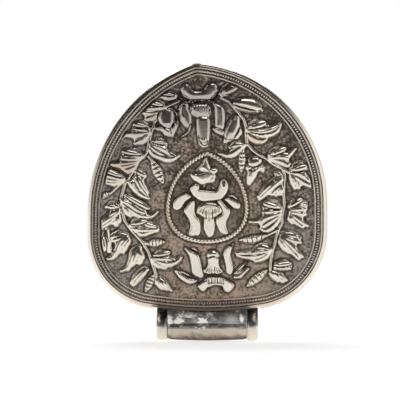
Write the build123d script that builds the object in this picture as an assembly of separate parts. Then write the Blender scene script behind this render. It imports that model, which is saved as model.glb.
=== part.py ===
from build123d import *
import os
from math import atan2, cos, degrees, hypot, radians, sin, sqrt

# A silver amulet box in the shape of a pipal leaf, made of two shells that meet half way through
# its depth. The back tray carries a sleeve, over which the front cover slides. A cord tube in three
# lengths runs along the bottom: its middle length is on the cover and its ends are on the tray, so
# a cord through all three keeps the box shut.
# Sizes are in millimetres. The front faces -Y, up is +Z, and the origin is the middle of the tube.

# Outline of the box, seen from the front
half_width = 32.3
left_widest_height = 30.0
right_widest_height = 33.0
left_corner_radius = 19.3
right_corner_radius = 21.0
bottom_radius = 100.0
tip_height = 70.9
tip_radius = 6.0
tip_shift = -2.4

# Depths on each side of the seam
front_depth = 8.2
back_depth = 6.5
seam_gap = 0.1

# Sheets, strips and fits
front_sheet = 0.7
front_recess = 0.4
wall_sheet = 0.8
rim_land = 0.2
back_sheet = 0.7
back_bevel = 0.3
sleeve_sheet = 0.6
sleeve_reach = 3.2
sleeve_seat = 4.0
sleeve_clearance = 0.15
solder_gap = 0.05

# Rim strips round the seam: the right one ends in an open lap below the tip
strip_sheet = 0.4
strip_front = 1.2
strip_back = 1.8
strip_clearance = 0.1
strip_tube_gap = 0.6
lap_end = 15.3

# Border of three wires on the front plate
border_gap = 0.15
ridge_width = 0.55
ridge_crest = 0.2
ridge_height = 0.5
bead_width = 0.9

# Drop of twisted wire round the middle flower
drop_half_width = 10.5
drop_bottom = 22.8
drop_top = 46.2
drop_corner_radius = 8.0
drop_bottom_radius = 16.0
drop_tip_radius = 0.8
rope_width = 0.9
rope_clearance = 0.1

# Cord tube
bore_radius = 2.9
barrel_half_length = 10.4
barrel_wall = 0.65
barrel_swell = 0.35
barrel_clearance = 0.35
knuckle_gap = 0.35
knuckle_length = 2.85
left_knuckle_wall = 0.6
right_knuckle_wall = 0.9
knuckle_swell = 0.3
front_apron_setback = 1.6
back_apron_setback = 0.6
apron_drop = 1.0
apron_hollow = 0.6
apron_clearance = 0.3

# Rolled paper inside, and the band that keeps it closed
scroll_length = 26.0
scroll_core_radius = 1.3
scroll_sheet = 0.45
scroll_gap = 0.3
scroll_turns = 3
band_sheet = 0.25
band_width = 6.0

# Relief of the front plate
relief_height = 1.4
relief_root = 0.1
crest_setback = 0.22
leaf_shoulders = (0.3, 0.65)

# Each lobe of a leaf: where it starts across and up, where its tip is, its width, and how far its
# middle bends to the left of the way from start to tip
left_branch = [
    (-8.7, 61.0, -13.2, 62.4, 2.2, 0),
    (-11.3, 58.8, -15.0, 60.6, 1.7, 0), (-11.6, 57.9, -18.0, 57.9, 1.7, 0),
    (-12.8, 56.9, -16.3, 55.4, 1.5, 0),
    (-9.8, 51.4, -10.6, 58.2, 4.2, 0.6),
    (-15.6, 52.9, -19.8, 54.2, 1.7, 0), (-15.8, 51.9, -23.3, 50.9, 1.7, 0),
    (-16.2, 50.9, -19.0, 48.9, 1.4, 0),
    (-17.4, 45.9, -22.8, 46.9, 2.1, 0), (-18.6, 44.5, -27.0, 44.0, 1.4, 0),
    (-19.0, 43.4, -22.4, 41.8, 1.6, 0),
    (-14.6, 49.3, -10.5, 49.0, 1.4, 0), (-14.6, 47.9, -7.5, 45.8, 2.3, -0.5),
    (-22.9, 40.0, -27.6, 42.2, 2.0, 0), (-23.0, 38.8, -27.0, 38.8, 1.5, 0),
    (-20.2, 40.2, -16.5, 40.7, 1.6, 0), (-20.2, 38.7, -15.7, 34.5, 2.4, 0),
    (-22.2, 35.1, -16.8, 31.6, 1.7, 0), (-22.2, 33.4, -13.2, 30.7, 1.3, -1.9),
    (-21.8, 31.2, -19.9, 29.3, 1.4, 0),
    (-23.6, 31.9, -26.9, 32.4, 1.6, 0), (-23.7, 30.7, -28.6, 27.3, 1.7, 0),
    (-23.4, 29.3, -24.2, 27.1, 1.2, 0),
    (-20.0, 27.5, -16.6, 28.5, 1.4, 0), (-19.5, 26.1, -12.9, 26.0, 1.7, 0),
    (-21.1, 24.3, -26.6, 18.3, 2.5, 0.9), (-25.6, 25.2, -26.4, 21.6, 1.5, 0),
    (-18.1, 20.9, -22.8, 14.9, 1.7, 0.4), (-17.3, 19.9, -17.6, 17.0, 1.3, 0),
    (-16.2, 15.6, -20.1, 11.5, 1.7, 0),
    (-14.1, 18.3, -10.3, 20.0, 1.5, 0), (-14.1, 17.1, -7.0, 18.5, 1.2, -1.2),
    (-13.9, 15.8, -11.2, 15.4, 1.1, 0),
    (-13.0, 12.6, -9.6, 10.0, 2.2, 0),
]
right_branch = [
    (3.9, 62.4, 7.7, 64.4, 2.2, 0),
    (7.8, 60.5, 11.2, 61.4, 2.1, 0), (8.8, 58.9, 15.0, 58.4, 1.4, 0),
    (7.6, 56.3, 4.7, 49.5, 3.0, 0.5), (8.8, 53.4, 8.5, 50.5, 1.3, 0),
    (11.0, 52.9, 15.2, 54.6, 2.0, 0), (11.2, 51.9, 19.6, 54.0, 1.5, -1.2),
    (11.4, 50.6, 15.7, 49.5, 1.4, -0.2),
    (16.7, 45.9, 20.0, 47.9, 1.6, 0), (17.0, 44.9, 23.7, 47.8, 1.5, -0.7),
    (16.9, 43.9, 21.8, 43.0, 1.1, 0.2),
    (9.9, 48.6, 3.4, 47.0, 1.6, 0.6), (14.1, 45.0, 11.3, 38.3, 2.2, -0.3),
    (14.6, 43.8, 15.2, 41.5, 1.1, 0),
    (22.7, 41.9, 26.6, 43.0, 2.0, 0), (22.6, 40.4, 28.0, 38.4, 1.7, 0), (22.2, 39.2, 24.0, 37.0, 1.4, 0),
    (19.9, 40.2, 13.8, 34.0, 2.4, 0), (19.7, 37.4, 17.6, 34.6, 1.5, 0),
    (22.1, 31.6, 26.4, 33.6, 2.6, 0.3), (22.0, 29.8, 27.3, 26.8, 2.1, 0),
    (19.4, 31.6, 15.2, 33.1, 1.6, 0), (19.2, 30.0, 11.8, 28.5, 1.6, 0), (18.6, 28.4, 14.0, 26.1, 1.7, 0),
    (19.8, 24.9, 25.1, 24.3, 1.7, 0), (19.7, 23.2, 25.8, 18.0, 2.4, 0), (18.9, 21.8, 20.6, 19.7, 1.3, 0),
    (16.7, 21.0, 12.6, 21.6, 1.2, 0), (16.5, 19.9, 7.7, 19.5, 1.5, 0), (16.3, 18.8, 13.0, 17.7, 1.1, 0),
    (17.9, 16.2, 22.3, 16.9, 2.2, 0.3), (17.3, 14.6, 21.3, 12.3, 1.8, 0),
]
pods = [
    (-14.4, 44.4, -11.4, 38.3, 2.2, -0.4), (-25.9, 35.6, -28.8, 34.8, 1.4, 0),
    (-15.9, 22.3, -10.9, 22.8, 1.7, -0.3), (-14.3, 13.8, -16.6, 9.6, 1.6, 0.2),
    (9.5, 47.2, 9.2, 41.2, 1.6, 0), (16.0, 24.6, 8.4, 23.2, 1.8, 0.5), (16.1, 15.3, 10.5, 10.8, 1.9, 0.3),
]
top_flower = [
    (-6.6, 63.5, 2.6, 63.8, 2.5, -2.0), (-3.4, 63.0, -5.8, 64.8, 1.6, 0), (-0.4, 63.0, 1.7, 65.0, 1.6, 0),
    (-4.5, 57.6, 1.2, 57.6, 3.4, 0), (-0.8, 55.4, -1.0, 48.0, 2.7, 0),
    (-5.4, 59.3, -7.2, 50.5, 2.2, -0.8), (2.2, 59.5, 3.4, 51.6, 2.0, 0.8),
]
middle_flower = [
    (-0.3, 38.7, -0.3, 45.2, 5.2, 0), (-4.2, 37.8, 5.2, 38.6, 2.9, -3.1),
    (-4.9, 35.0, -8.4, 31.7, 1.7, -0.2), (5.6, 35.0, 8.4, 32.0, 1.8, 0.2),
    (-3.6, 32.9, -3.9, 28.4, 1.9, -1.2), (-3.6, 28.2, -3.4, 24.5, 2.2, 0),
    (-2.4, 30.4, 3.3, 30.4, 1.8, 1.2), (0.5, 29.6, 0.6, 24.4, 2.1, 0),
    (3.9, 32.9, 4.3, 28.6, 1.8, 1.1), (4.0, 28.4, 5.0, 25.0, 2.1, 0),
]
bottom_flower = [
    (1.0, 12.5, -1.8, 10.2, 1.9, 0.3), (3.4, 12.5, 6.2, 10.1, 2.1, -0.3),
    (1.4, 14.2, 1.4, 19.6, 2.2, 0), (0.2, 14.2, -0.9, 16.2, 0.9, 0), (2.6, 14.2, 3.6, 16.2, 0.9, 0),
    (-1.8, 13.7, -5.6, 20.8, 2.2, 0.2), (6.3, 13.9, 6.2, 21.3, 1.7, 0.7),
    (-8.3, 15.0, -2.9, 12.2, 1.7, -0.4), (7.3, 13.4, 11.0, 16.9, 1.7, 0.1),
]


# Places that follow from the sizes above
front_wall_inset = strip_sheet + strip_clearance
front_wall_inner = front_wall_inset + wall_sheet
plate_inset = front_wall_inner + solder_gap
sleeve_inset = front_wall_inner + sleeve_clearance
sleeve_inner = sleeve_inset + sleeve_sheet
back_wall_inset = strip_sheet + solder_gap
back_wall_inner = sleeve_inset - solder_gap
ground = -(front_depth - front_recess)
outer_ridge_inset = plate_inset + border_gap + ridge_width / 2
bead_inset = outer_ridge_inset + ridge_width / 2 + border_gap + bead_width / 2
inner_ridge_inset = bead_inset + bead_width / 2 + border_gap + ridge_width / 2
field_inset = inner_ridge_inset + ridge_width / 2 + border_gap
knuckle_start = barrel_half_length + knuckle_gap
tube_half_length = knuckle_start + knuckle_length
bottom_height = bore_radius + barrel_wall + barrel_swell + barrel_clearance - back_wall_inset
bottom_centre = bottom_height + bottom_radius
tip_centre = (tip_shift, tip_height - tip_radius)
scroll_pitch = scroll_sheet + scroll_gap
scroll_radius = scroll_core_radius + (scroll_turns - 0.5) * scroll_pitch + scroll_sheet


def on_circle(centre, radius, angle):
    return (centre[0] + radius * cos(radians(angle)), 0, centre[1] + radius * sin(radians(angle)))


def arc_chain(arcs, inset):
    """A closed wire of arcs (centre, radius, first angle, last angle), joined by straight runs."""
    edges = []
    ends = [on_circle(centre, radius - inset, last) for centre, radius, first, last in arcs]
    for index, (centre, radius, first, last) in enumerate(arcs):
        start = on_circle(centre, radius - inset, first)
        middle = on_circle(centre, radius - inset, (first + last) / 2)
        if hypot(start[0] - ends[index - 1][0], start[2] - ends[index - 1][2]) > 1e-6:
            edges.append(Line(ends[index - 1], start))
        edges.append(ThreePointArc(start, middle, ends[index]))
    return Wire(edges)


def corner(half_span, radius, base_radius, base_centre_up):
    """Round corner between a bottom arc and an upright side: middle across, middle up and meeting angle."""
    across = half_span - radius
    drop = sqrt((base_radius - radius) ** 2 - across ** 2)
    return across, base_centre_up - drop, degrees(atan2(-drop, across))


def flank(widest_across, widest_up, tip, end_radius):
    """Arc that leaves its widest point upright and runs into a round tip: centre, radius and end angle."""
    side = 1 if widest_across > 0 else -1
    reach = side * (widest_across - tip[0])
    rise = tip[1] - widest_up
    radius = (reach ** 2 + rise ** 2 - end_radius ** 2) / (2 * (reach - end_radius))
    centre = (widest_across - side * radius, widest_up)
    return centre, radius, degrees(atan2(rise, tip[0] - centre[0]))


def box_outline(inset):
    """Outline of the box, drawn in by inset: bottom, corners, flanks and tip."""
    bottom = (bottom_radius, bottom_centre)
    right_across, right_up, right_turn = corner(half_width, right_corner_radius, *bottom)
    left_across, left_up, left_turn = corner(half_width, left_corner_radius, *bottom)
    right_centre, right_radius, right_end = flank(half_width, right_widest_height, tip_centre, tip_radius)
    left_centre, left_radius, left_end = flank(-half_width, left_widest_height, tip_centre, tip_radius)
    return arc_chain([
        ((0, bottom_centre), bottom_radius, -180 - left_turn, right_turn),
        ((right_across, right_up), right_corner_radius, right_turn, 0),
        (right_centre, right_radius, 0, right_end),
        (tip_centre, tip_radius, right_end, left_end),
        (left_centre, left_radius, left_end, 180),
        ((-left_across, left_up), left_corner_radius, 180, 180 - left_turn),
    ], inset)


def drop_outline(inset):
    """Drop round the middle flower: a bottom, two corners, two flanks and a narrow tip."""
    base = drop_bottom + drop_bottom_radius
    across, up, turn = corner(drop_half_width, drop_corner_radius, drop_bottom_radius, base)
    tip = (0, drop_top - drop_tip_radius)
    centre, radius, lean = flank(drop_half_width, up, tip, drop_tip_radius)
    return arc_chain([
        ((0, base), drop_bottom_radius, -180 - turn, turn),
        ((across, up), drop_corner_radius, turn, 0),
        (centre, radius, 0, lean),
        (tip, drop_tip_radius, lean, 180 - lean),
        ((-centre[0], up), radius, 180 - lean, 180),
        ((-across, up), drop_corner_radius, 180, 180 - turn),
    ], inset)


def slab(inset, front, back):
    return extrude(Pos(0, front, 0) * make_face(box_outline(inset)), amount=back - front, dir=(0, 1, 0))


def hoop(outer_inset, inner_inset, front, back):
    """A strip bent round the outline, standing between two depths."""
    return slab(outer_inset, front, back) - slab(inner_inset, front, back)


def back_wall():
    return hoop(back_wall_inset, back_wall_inner, seam_gap / 2, back_depth)


def back_plate():
    plate = slab(back_wall_inset, back_depth, back_depth + back_sheet)
    back = plate.faces().sort_by(Axis.Y)[-1]
    return chamfer(back.outer_wire().edges(), back_bevel)


def inner_sleeve():
    return hoop(sleeve_inset, sleeve_inner, -sleeve_reach, sleeve_seat)


def rim_strips():
    """Left and right strips: both stop beside the tube, and the right one stops at its lap."""
    strip = hoop(0, strip_sheet, -strip_front, strip_back)
    depth = strip_front + strip_back
    middle = (strip_back - strip_front) / 2
    tube_gap = Box(2 * (tube_half_length + strip_tube_gap), 2 * depth, 2 * right_widest_height)
    upright = (Align.MIN, Align.CENTER, Align.MIN)
    lap_gap = Box(lap_end - tip_shift, 2 * depth, 2 * tip_height, align=upright)
    strip = strip - Pos(0, middle, 0) * tube_gap
    strip = strip - Pos(tip_shift, middle, right_widest_height) * lap_gap
    return strip.solids().sort_by(Axis.X)


def facet(*corners):
    return make_face(Polyline(*corners, close=True))


def lobe(start_across, start_up, tip_across, tip_up, width, bend):
    """A raised lobe: a foot of six corners, sunk a little into the plate, under a long crest."""
    along_across = tip_across - start_across
    along_up = tip_up - start_up
    length = hypot(along_across, along_up)

    def place(share, side, depth):
        offset = (bend * 4 * share * (1 - share) + side * width / 2) / length
        across = start_across + along_across * share - along_up * offset
        up = start_up + along_up * share + along_across * offset
        return (across, depth, up)

    root = ground + relief_root
    near, far = leaf_shoulders
    start = place(0, 0, root)
    tip = place(1, 0, root)
    left = [place(near, 1, root), place(far, 1, root)]
    right = [place(near, -1, root), place(far, -1, root)]
    top = ground - relief_height
    crest = [place(crest_setback, 0, top), place(1 - crest_setback, 0, top)]
    facets = [facet(start, left[0], left[1], tip, right[1], right[0])]
    for near_corner, far_corner in (left, right):
        facets.append(facet(start, near_corner, crest[0]))
        facets.append(facet(near_corner, far_corner, crest[0]))
        facets.append(facet(far_corner, crest[1], crest[0]))
        facets.append(facet(far_corner, tip, crest[1]))
    return Solid(Shell(facets))


def bent_along(outline, section):
    """A wire or strip bent along an outline. Its section's axes point to the front and outwards."""
    edge = outline.edges()[0]
    plane = Plane(origin=edge @ 0.5, x_dir=(0, -1, 0), z_dir=edge % 0.5)
    return sweep(plane * section, path=outline)


def wire_on_plate(outline, section):
    return Pos(0, ground, 0) * bent_along(outline, section)


def front_wall():
    """A strip bent round the plate, with its outer front edge rounded in three bevels."""
    rim_radius = wall_sheet - rim_land
    rim_centre = (front_depth - rim_radius, -rim_radius)
    rim = [on_circle(rim_centre, rim_radius, angle) for angle in (90, 60, 30, 0)]
    bevels = [(forward, outward) for forward, depth, outward in rim]
    corners = [(seam_gap / 2, 0), *bevels, (front_depth, -wall_sheet), (seam_gap / 2, -wall_sheet)]
    return bent_along(box_outline(front_wall_inset), make_face(Polyline(*corners, close=True)))


def ridge_section():
    """Three-cornered wire with a narrow crest."""
    half = ridge_width / 2
    crest = ridge_crest / 2
    corners = [(0, -half), (ridge_height, -crest), (ridge_height, crest), (0, half)]
    return make_face(Polyline(*corners, close=True))


def bead_section(width):
    """Half of an eight-sided wire."""
    rim = [on_circle((0, 0), width / 2, angle) for angle in (-90, -45, 0, 45, 90)]
    return make_face(Polyline(*[(across, up) for across, depth, up in rim], close=True))


def front_plate():
    """Chased plate: its relief leaves a flat seat for the border wires and for the drop of rope."""
    plate = slab(plate_inset, ground, ground + front_sheet)
    rows = left_branch + right_branch + pods + top_flower + middle_flower + bottom_flower
    lobes = [lobe(*row) for row in rows]
    seat = rope_width / 2 + rope_clearance
    rope_seat = make_face(drop_outline(-seat)) - make_face(drop_outline(seat))
    clear = ground - 2 * relief_height
    border_seat = hoop(-half_width, field_inset, clear, ground)
    rope_groove = extrude(Pos(0, ground, 0) * rope_seat, amount=2 * relief_height, dir=(0, -1, 0))
    return plate.fuse(*lobes) - border_seat - rope_groove


def tube_knuckle(start, end, wall, swell, reach, wall_inset):
    """One length of the cord tube, with the apron that is soldered to its own wall."""
    end_radius = bore_radius + wall
    belly = ((start + end) / 2, 0, end_radius + swell)
    inner = [(start, 0, bore_radius), (end, 0, bore_radius)]
    profile = Polyline(*inner, (end, 0, end_radius), belly, (start, 0, end_radius), close=True)
    tube = revolve(make_face(profile), Axis.X)
    side = 1 if reach > 0 else -1
    rear = side * apron_clearance
    top = right_widest_height
    edge_height = bottom_height + apron_drop
    foot = (side * sqrt(end_radius ** 2 - apron_drop ** 2), apron_drop)
    middle = ((foot[0] + reach) / 2, (foot[1] + edge_height) / 2)
    hollow = (middle[0] - side * apron_hollow, middle[1] + apron_hollow)
    section = make_face([
        Line((rear, 0), (rear, top)),
        Line((rear, top), (reach, top)),
        Line((reach, top), (reach, edge_height)),
        ThreePointArc((reach, edge_height), hollow, foot),
        Line(foot, (rear, 0)),
    ])
    apron = extrude(Plane.YZ.offset(start) * section, amount=end - start)
    bore = Pos((start + end) / 2, 0, 0) * Rot(0, 90, 0) * Cylinder(bore_radius, 2 * (end - start))
    return tube + apron - bore - slab(wall_inset - solder_gap, -2 * front_depth, 2 * back_depth)


def scroll_place():
    """Middle of the roll: its ends rest on the sleeve, and its band is just clear of the back plate."""
    floor = bottom_centre - sqrt((bottom_radius - sleeve_inner) ** 2 - (scroll_length / 2) ** 2)
    depth = back_depth - band_sheet - scroll_radius - 3 * solder_gap
    return Pos(0, depth, floor + scroll_radius + solder_gap)


def spiral(first_radius):
    """Half turns whose centres alternate, so that each one starts where the last one ended."""
    arcs = []
    for turn in range(2 * scroll_turns):
        side = 1 if turn % 2 == 0 else -1
        centre = (scroll_pitch / 2) * (turn % 2) - scroll_pitch / 2
        radius = first_radius + turn * scroll_pitch / 2
        start = (centre + side * radius, 0)
        end = (centre - side * radius, 0)
        arcs.append(ThreePointArc(start, (centre, side * radius), end))
    return arcs


def prayer_scroll():
    inner = spiral(scroll_core_radius)
    outer = spiral(scroll_core_radius + scroll_sheet)
    first = Line(inner[0] @ 0, outer[0] @ 0)
    last = Line(inner[-1] @ 1, outer[-1] @ 1)
    roll = Plane.YZ.offset(-scroll_length / 2) * make_face([*inner, *outer, first, last])
    return scroll_place() * extrude(roll, amount=scroll_length)


def scroll_band():
    inner = scroll_radius + solder_gap
    ring = Cylinder(inner + band_sheet, band_width) - Cylinder(inner, band_width)
    return scroll_place() * Rot(0, 90, 0) * ring


left_rim_strip, right_rim_strip = rim_strips()
front_reach = front_apron_setback - front_depth
back_reach = back_depth + back_sheet - back_apron_setback
pieces = {
    "front_plate": front_plate(),
    "front_wall": front_wall(),
    "border_outer_wire": wire_on_plate(box_outline(outer_ridge_inset), ridge_section()),
    "border_beaded_wire": wire_on_plate(box_outline(bead_inset), bead_section(bead_width)),
    "border_inner_wire": wire_on_plate(box_outline(inner_ridge_inset), ridge_section()),
    "medallion_rope": wire_on_plate(drop_outline(0), bead_section(rope_width)),
    "barrel_knuckle": tube_knuckle(
        -barrel_half_length, barrel_half_length, barrel_wall, barrel_swell, front_reach, front_wall_inset),
    "back_wall": back_wall(),
    "back_plate": back_plate(),
    "inner_sleeve": inner_sleeve(),
    "left_knuckle": tube_knuckle(
        -tube_half_length, -knuckle_start, left_knuckle_wall, knuckle_swell, back_reach, back_wall_inset),
    "right_knuckle": tube_knuckle(
        knuckle_start, tube_half_length, right_knuckle_wall, knuckle_swell, back_reach, back_wall_inset),
    "left_rim_strip": left_rim_strip,
    "right_rim_strip": right_rim_strip,
    "prayer_scroll": prayer_scroll(),
    "scroll_band": scroll_band(),
}

os.makedirs("parts", exist_ok=True)
for name, piece in pieces.items():
    export_step(piece, f"parts/{name}.step")
    print(name, "volume", round(piece.volume, 2))
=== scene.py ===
# %% [markdown]
# # A silver amulet box, from its frame to its finish
# The packed solids give the size and the places of sixteen pieces. This lesson dresses them: a chased
# front with leaves and flowers, border wires, a cord tube, a plain back and a rolled paper inside.
# The solids are loaded first and never moved, so each new piece only has to follow the same sizes.

import math

import bmesh
import bpy
import numpy as np
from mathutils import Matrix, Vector


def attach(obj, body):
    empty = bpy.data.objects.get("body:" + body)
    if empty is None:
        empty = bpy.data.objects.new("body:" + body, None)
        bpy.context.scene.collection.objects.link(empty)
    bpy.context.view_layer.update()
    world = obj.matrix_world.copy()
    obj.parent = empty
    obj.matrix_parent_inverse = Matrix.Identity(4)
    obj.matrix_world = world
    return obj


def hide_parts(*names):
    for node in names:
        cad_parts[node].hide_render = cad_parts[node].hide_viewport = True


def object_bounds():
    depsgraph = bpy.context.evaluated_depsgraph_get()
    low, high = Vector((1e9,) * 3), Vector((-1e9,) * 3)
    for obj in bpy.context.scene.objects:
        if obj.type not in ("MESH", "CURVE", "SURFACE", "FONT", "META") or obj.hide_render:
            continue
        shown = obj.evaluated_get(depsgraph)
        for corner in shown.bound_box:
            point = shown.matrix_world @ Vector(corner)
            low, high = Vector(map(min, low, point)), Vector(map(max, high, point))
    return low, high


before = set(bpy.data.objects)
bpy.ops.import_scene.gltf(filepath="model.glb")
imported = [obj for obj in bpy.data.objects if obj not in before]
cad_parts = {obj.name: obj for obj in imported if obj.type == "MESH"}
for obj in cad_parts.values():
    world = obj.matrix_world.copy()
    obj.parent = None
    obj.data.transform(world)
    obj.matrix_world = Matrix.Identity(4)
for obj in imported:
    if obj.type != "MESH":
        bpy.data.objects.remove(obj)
cad_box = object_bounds()
MM = 0.001
rng = np.random.default_rng(7)

# %% [markdown]
# ## The camera
# The photograph was taken from straight in front with a long lens, a touch below the middle and to
# the right. A long lens keeps the sides of the box nearly parallel. The focal length could be tried
# out by eye, but here the width of the picture in millimetres gives it, so that only the middle of
# the picture and two small angles are left to judge.

# %% Camera
picture_width = 108.0
picture_middle = (-2.0, 34.0)
camera_distance = 600.0
camera_azimuth = 1.0
camera_elevation = -0.8
sensor_width = 36.0
nearest_seen = 10.0


def place_camera():
    lens = bpy.data.cameras.new("camera")
    lens.sensor_fit = "HORIZONTAL"
    lens.sensor_width = sensor_width
    lens.lens = sensor_width * camera_distance / picture_width
    lens.clip_start = nearest_seen * MM
    camera = bpy.data.objects.new("camera", lens)
    turn = math.radians(camera_azimuth)
    rise = math.radians(camera_elevation)
    aim = Vector((picture_middle[0], 0, picture_middle[1])) * MM
    back = Vector((math.sin(turn) * math.cos(rise), -math.cos(turn) * math.cos(rise), math.sin(rise)))
    camera.location = aim + back * camera_distance * MM
    camera.rotation_euler = back.to_track_quat("Z", "Y").to_euler()
    bpy.context.scene.collection.objects.link(camera)
    bpy.context.scene.camera = camera
    return camera


camera = place_camera()
print("camera at", [round(value, 3) for value in camera.location], "lens", round(camera.data.lens, 1))

# %% [markdown]
# ## Maths in shaders
# A finish is a small program of nodes. Writing each Math node by hand hides what is worked out, so
# one class wraps a node's output and lets Python's own operators add the nodes. Every other node
# comes from one method: the type, the settings, then the sockets.

# %% Signals and node sheets
class Signal:
    """An output of a node that can be used in sums."""

    def __init__(self, sheet, socket):
        self.sheet = sheet
        self.socket = socket

    def maths(self, operation, first, second):
        return self.sheet.node("ShaderNodeMath", {"operation": operation}, {0: first, 1: second})

    def __add__(self, other):
        return self.maths("ADD", self, other)

    def __radd__(self, other):
        return self.maths("ADD", other, self)

    def __sub__(self, other):
        return self.maths("SUBTRACT", self, other)

    def __rsub__(self, other):
        return self.maths("SUBTRACT", other, self)

    def __mul__(self, other):
        return self.maths("MULTIPLY", self, other)

    def __rmul__(self, other):
        return self.maths("MULTIPLY", other, self)

    def __abs__(self):
        return self.maths("ABSOLUTE", self, 0.0)


class NodeSheet:
    """The nodes of one material or world."""

    def __init__(self, tree):
        self.tree = tree
        tree.nodes.clear()

    def node(self, kind, settings=None, sockets=None, output=0):
        made = self.tree.nodes.new(kind)
        for name, value in (settings or {}).items():
            setattr(made, name, value)
        for name, value in (sockets or {}).items():
            if isinstance(value, Signal):
                self.tree.links.new(value.socket, made.inputs[name])
            else:
                made.inputs[name].default_value = value
        return Signal(self, made.outputs[output]) if len(made.outputs) else made

    def step(self, value, low, high):
        """A smooth rise from 0 at low to 1 at high."""
        settings = {"interpolation_type": "SMOOTHSTEP"}
        sockets = {"Value": value, "From Min": low, "From Max": high}
        return self.node("ShaderNodeMapRange", settings, sockets)

    def blend(self, share, first, second):
        """A colour between two colours. A Mix node keeps its colours in inputs 6 and 7 and output 2."""
        return self.node("ShaderNodeMix", {"data_type": "RGBA"}, {0: share, 6: first, 7: second}, 2)

    def place(self):
        return self.node("ShaderNodeTexCoord", None, None, "Object")

    def part_of(self, vector, axis):
        return self.node("ShaderNodeSeparateXYZ", None, {0: vector}, axis)

    def millimetres(self, axis):
        """How far a spot lies along one axis of the box."""
        return self.part_of(self.place(), axis) * (1 / MM)

    def stretched(self, across, depth, up):
        """The place on the object, with each axis scaled, so that noise can run in streaks."""
        settings = {"operation": "MULTIPLY"}
        return self.node("ShaderNodeVectorMath", settings, {0: self.place(), 1: (across, depth, up)})

    def noise(self, size, detail=3.0, vector=None):
        """Cloudy noise whose patches are about size millimetres wide."""
        sockets = {"Vector": vector or self.place(), "Scale": 1 / (size * MM), "Detail": detail}
        return self.node("ShaderNodeTexNoise", None, sockets)

    def bump(self, height, depth):
        """A bump that is depth millimetres high."""
        sockets = {"Height": height, "Distance": depth * MM, "Strength": 1.0}
        return self.node("ShaderNodeBump", None, sockets)

    def attribute(self, name):
        """A share that the mesh carries on its points."""
        return self.node("ShaderNodeAttribute", {"attribute_name": name}, None, "Fac")


def rgb(red, green, blue):
    return (red, green, blue, 1.0)


print("a sheet gives", [name for name in vars(NodeSheet) if not name.startswith("_")])

# %% [markdown]
# ## A white table in a dim room
# Polished silver has hardly any colour of its own: it shows what stands around it. The photograph's
# silver is cream where it looks down at a white table and dark where it looks up into the room. A
# picture of a room could be wrapped round the scene, but a few smooth steps are easier to aim. So the
# world is white behind and below the box, has a white panel far out on each side, and is dim in front
# and above. The camera itself sees plain white.

# %% World
room_dark = rgb(0.036, 0.033, 0.03)
room_grey = rgb(0.104, 0.096, 0.086)
room_rise = (0.05, 0.5)
paper_white = rgb(1.0, 1.0, 1.0)
fill_strength = 1.0
white_panels = {
    "backdrop": [("Y", 0.0, 0.35), ("Z", 0.55, 0.25)],
    "right_panel": [("X", 0.45, 0.75), ("Z", 0.75, 0.45)],
    "left_panel": [("X", -0.5, -0.8), ("Z", 0.45, 0.15)],
    "far_table": [("Z", -0.06, -0.16)],
}


def light_world():
    world = bpy.data.worlds.new("room")
    bpy.context.scene.world = world
    world.use_nodes = True
    sheet = NodeSheet(world.node_tree)
    way = sheet.node("ShaderNodeTexCoord", None, None, "Generated")
    dim = 1.0
    for edges in white_panels.values():
        panel = 1.0
        for axis, low, high in edges:
            panel = sheet.step(sheet.part_of(way, axis), low, high) * panel
        dim = (1 - panel) * dim
    room = sheet.blend(sheet.step(sheet.part_of(way, "Z"), *room_rise), room_grey, room_dark)
    colour = sheet.blend(dim, paper_white, room)
    around = sheet.node("ShaderNodeBackground", None, {"Color": colour, "Strength": fill_strength})
    white = sheet.node("ShaderNodeBackground", None, {"Color": paper_white, "Strength": 1.0})
    seen = sheet.node("ShaderNodeLightPath", None, None, "Is Camera Ray")
    mix = sheet.node("ShaderNodeMixShader", None, {0: seen, 1: around, 2: white})
    sheet.node("ShaderNodeOutputWorld", None, {"Surface": mix})
    return world


print("world", light_world().name, "with", len(white_panels), "white panels")

# %% [markdown]
# ## Table and lamps
# The table is a white sheet that keeps a soft shadow: part of its white is its own, for the eye and
# for mirrors, and the rest comes from the light that falls on it. A sheet that runs to the horizon
# would show a line there, so this one is small and fades out. Three soft lamps hang over it: one
# above in front, a narrow one on the left and a broad one behind. The mirror images of the front ones
# are the white streaks along the crests of the leaves.

# %% Table and lamps
table_level = cad_box[0][2]
table_half_size = 120.0
table_fade = (12.0, 100.0)
table_own_white = 0.6
table_paper = rgb(0.8, 0.81, 0.82)
white_rays = ("Is Camera Ray", "Is Glossy Ray", "Is Transmission Ray")
# A lamp is its place and its size in millimetres, and its power in watts.
lamps = {
    "top_lamp": ((90, -330, 430), (260, 150), 0.34),
    "left_lamp": ((-430, -420, 330), (30, 160), 0.06),
    "back_lamp": ((-60, 260, 420), (380, 240), 1.2),
}
lamp_aim = Vector((0, 0, 30)) * MM


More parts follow.
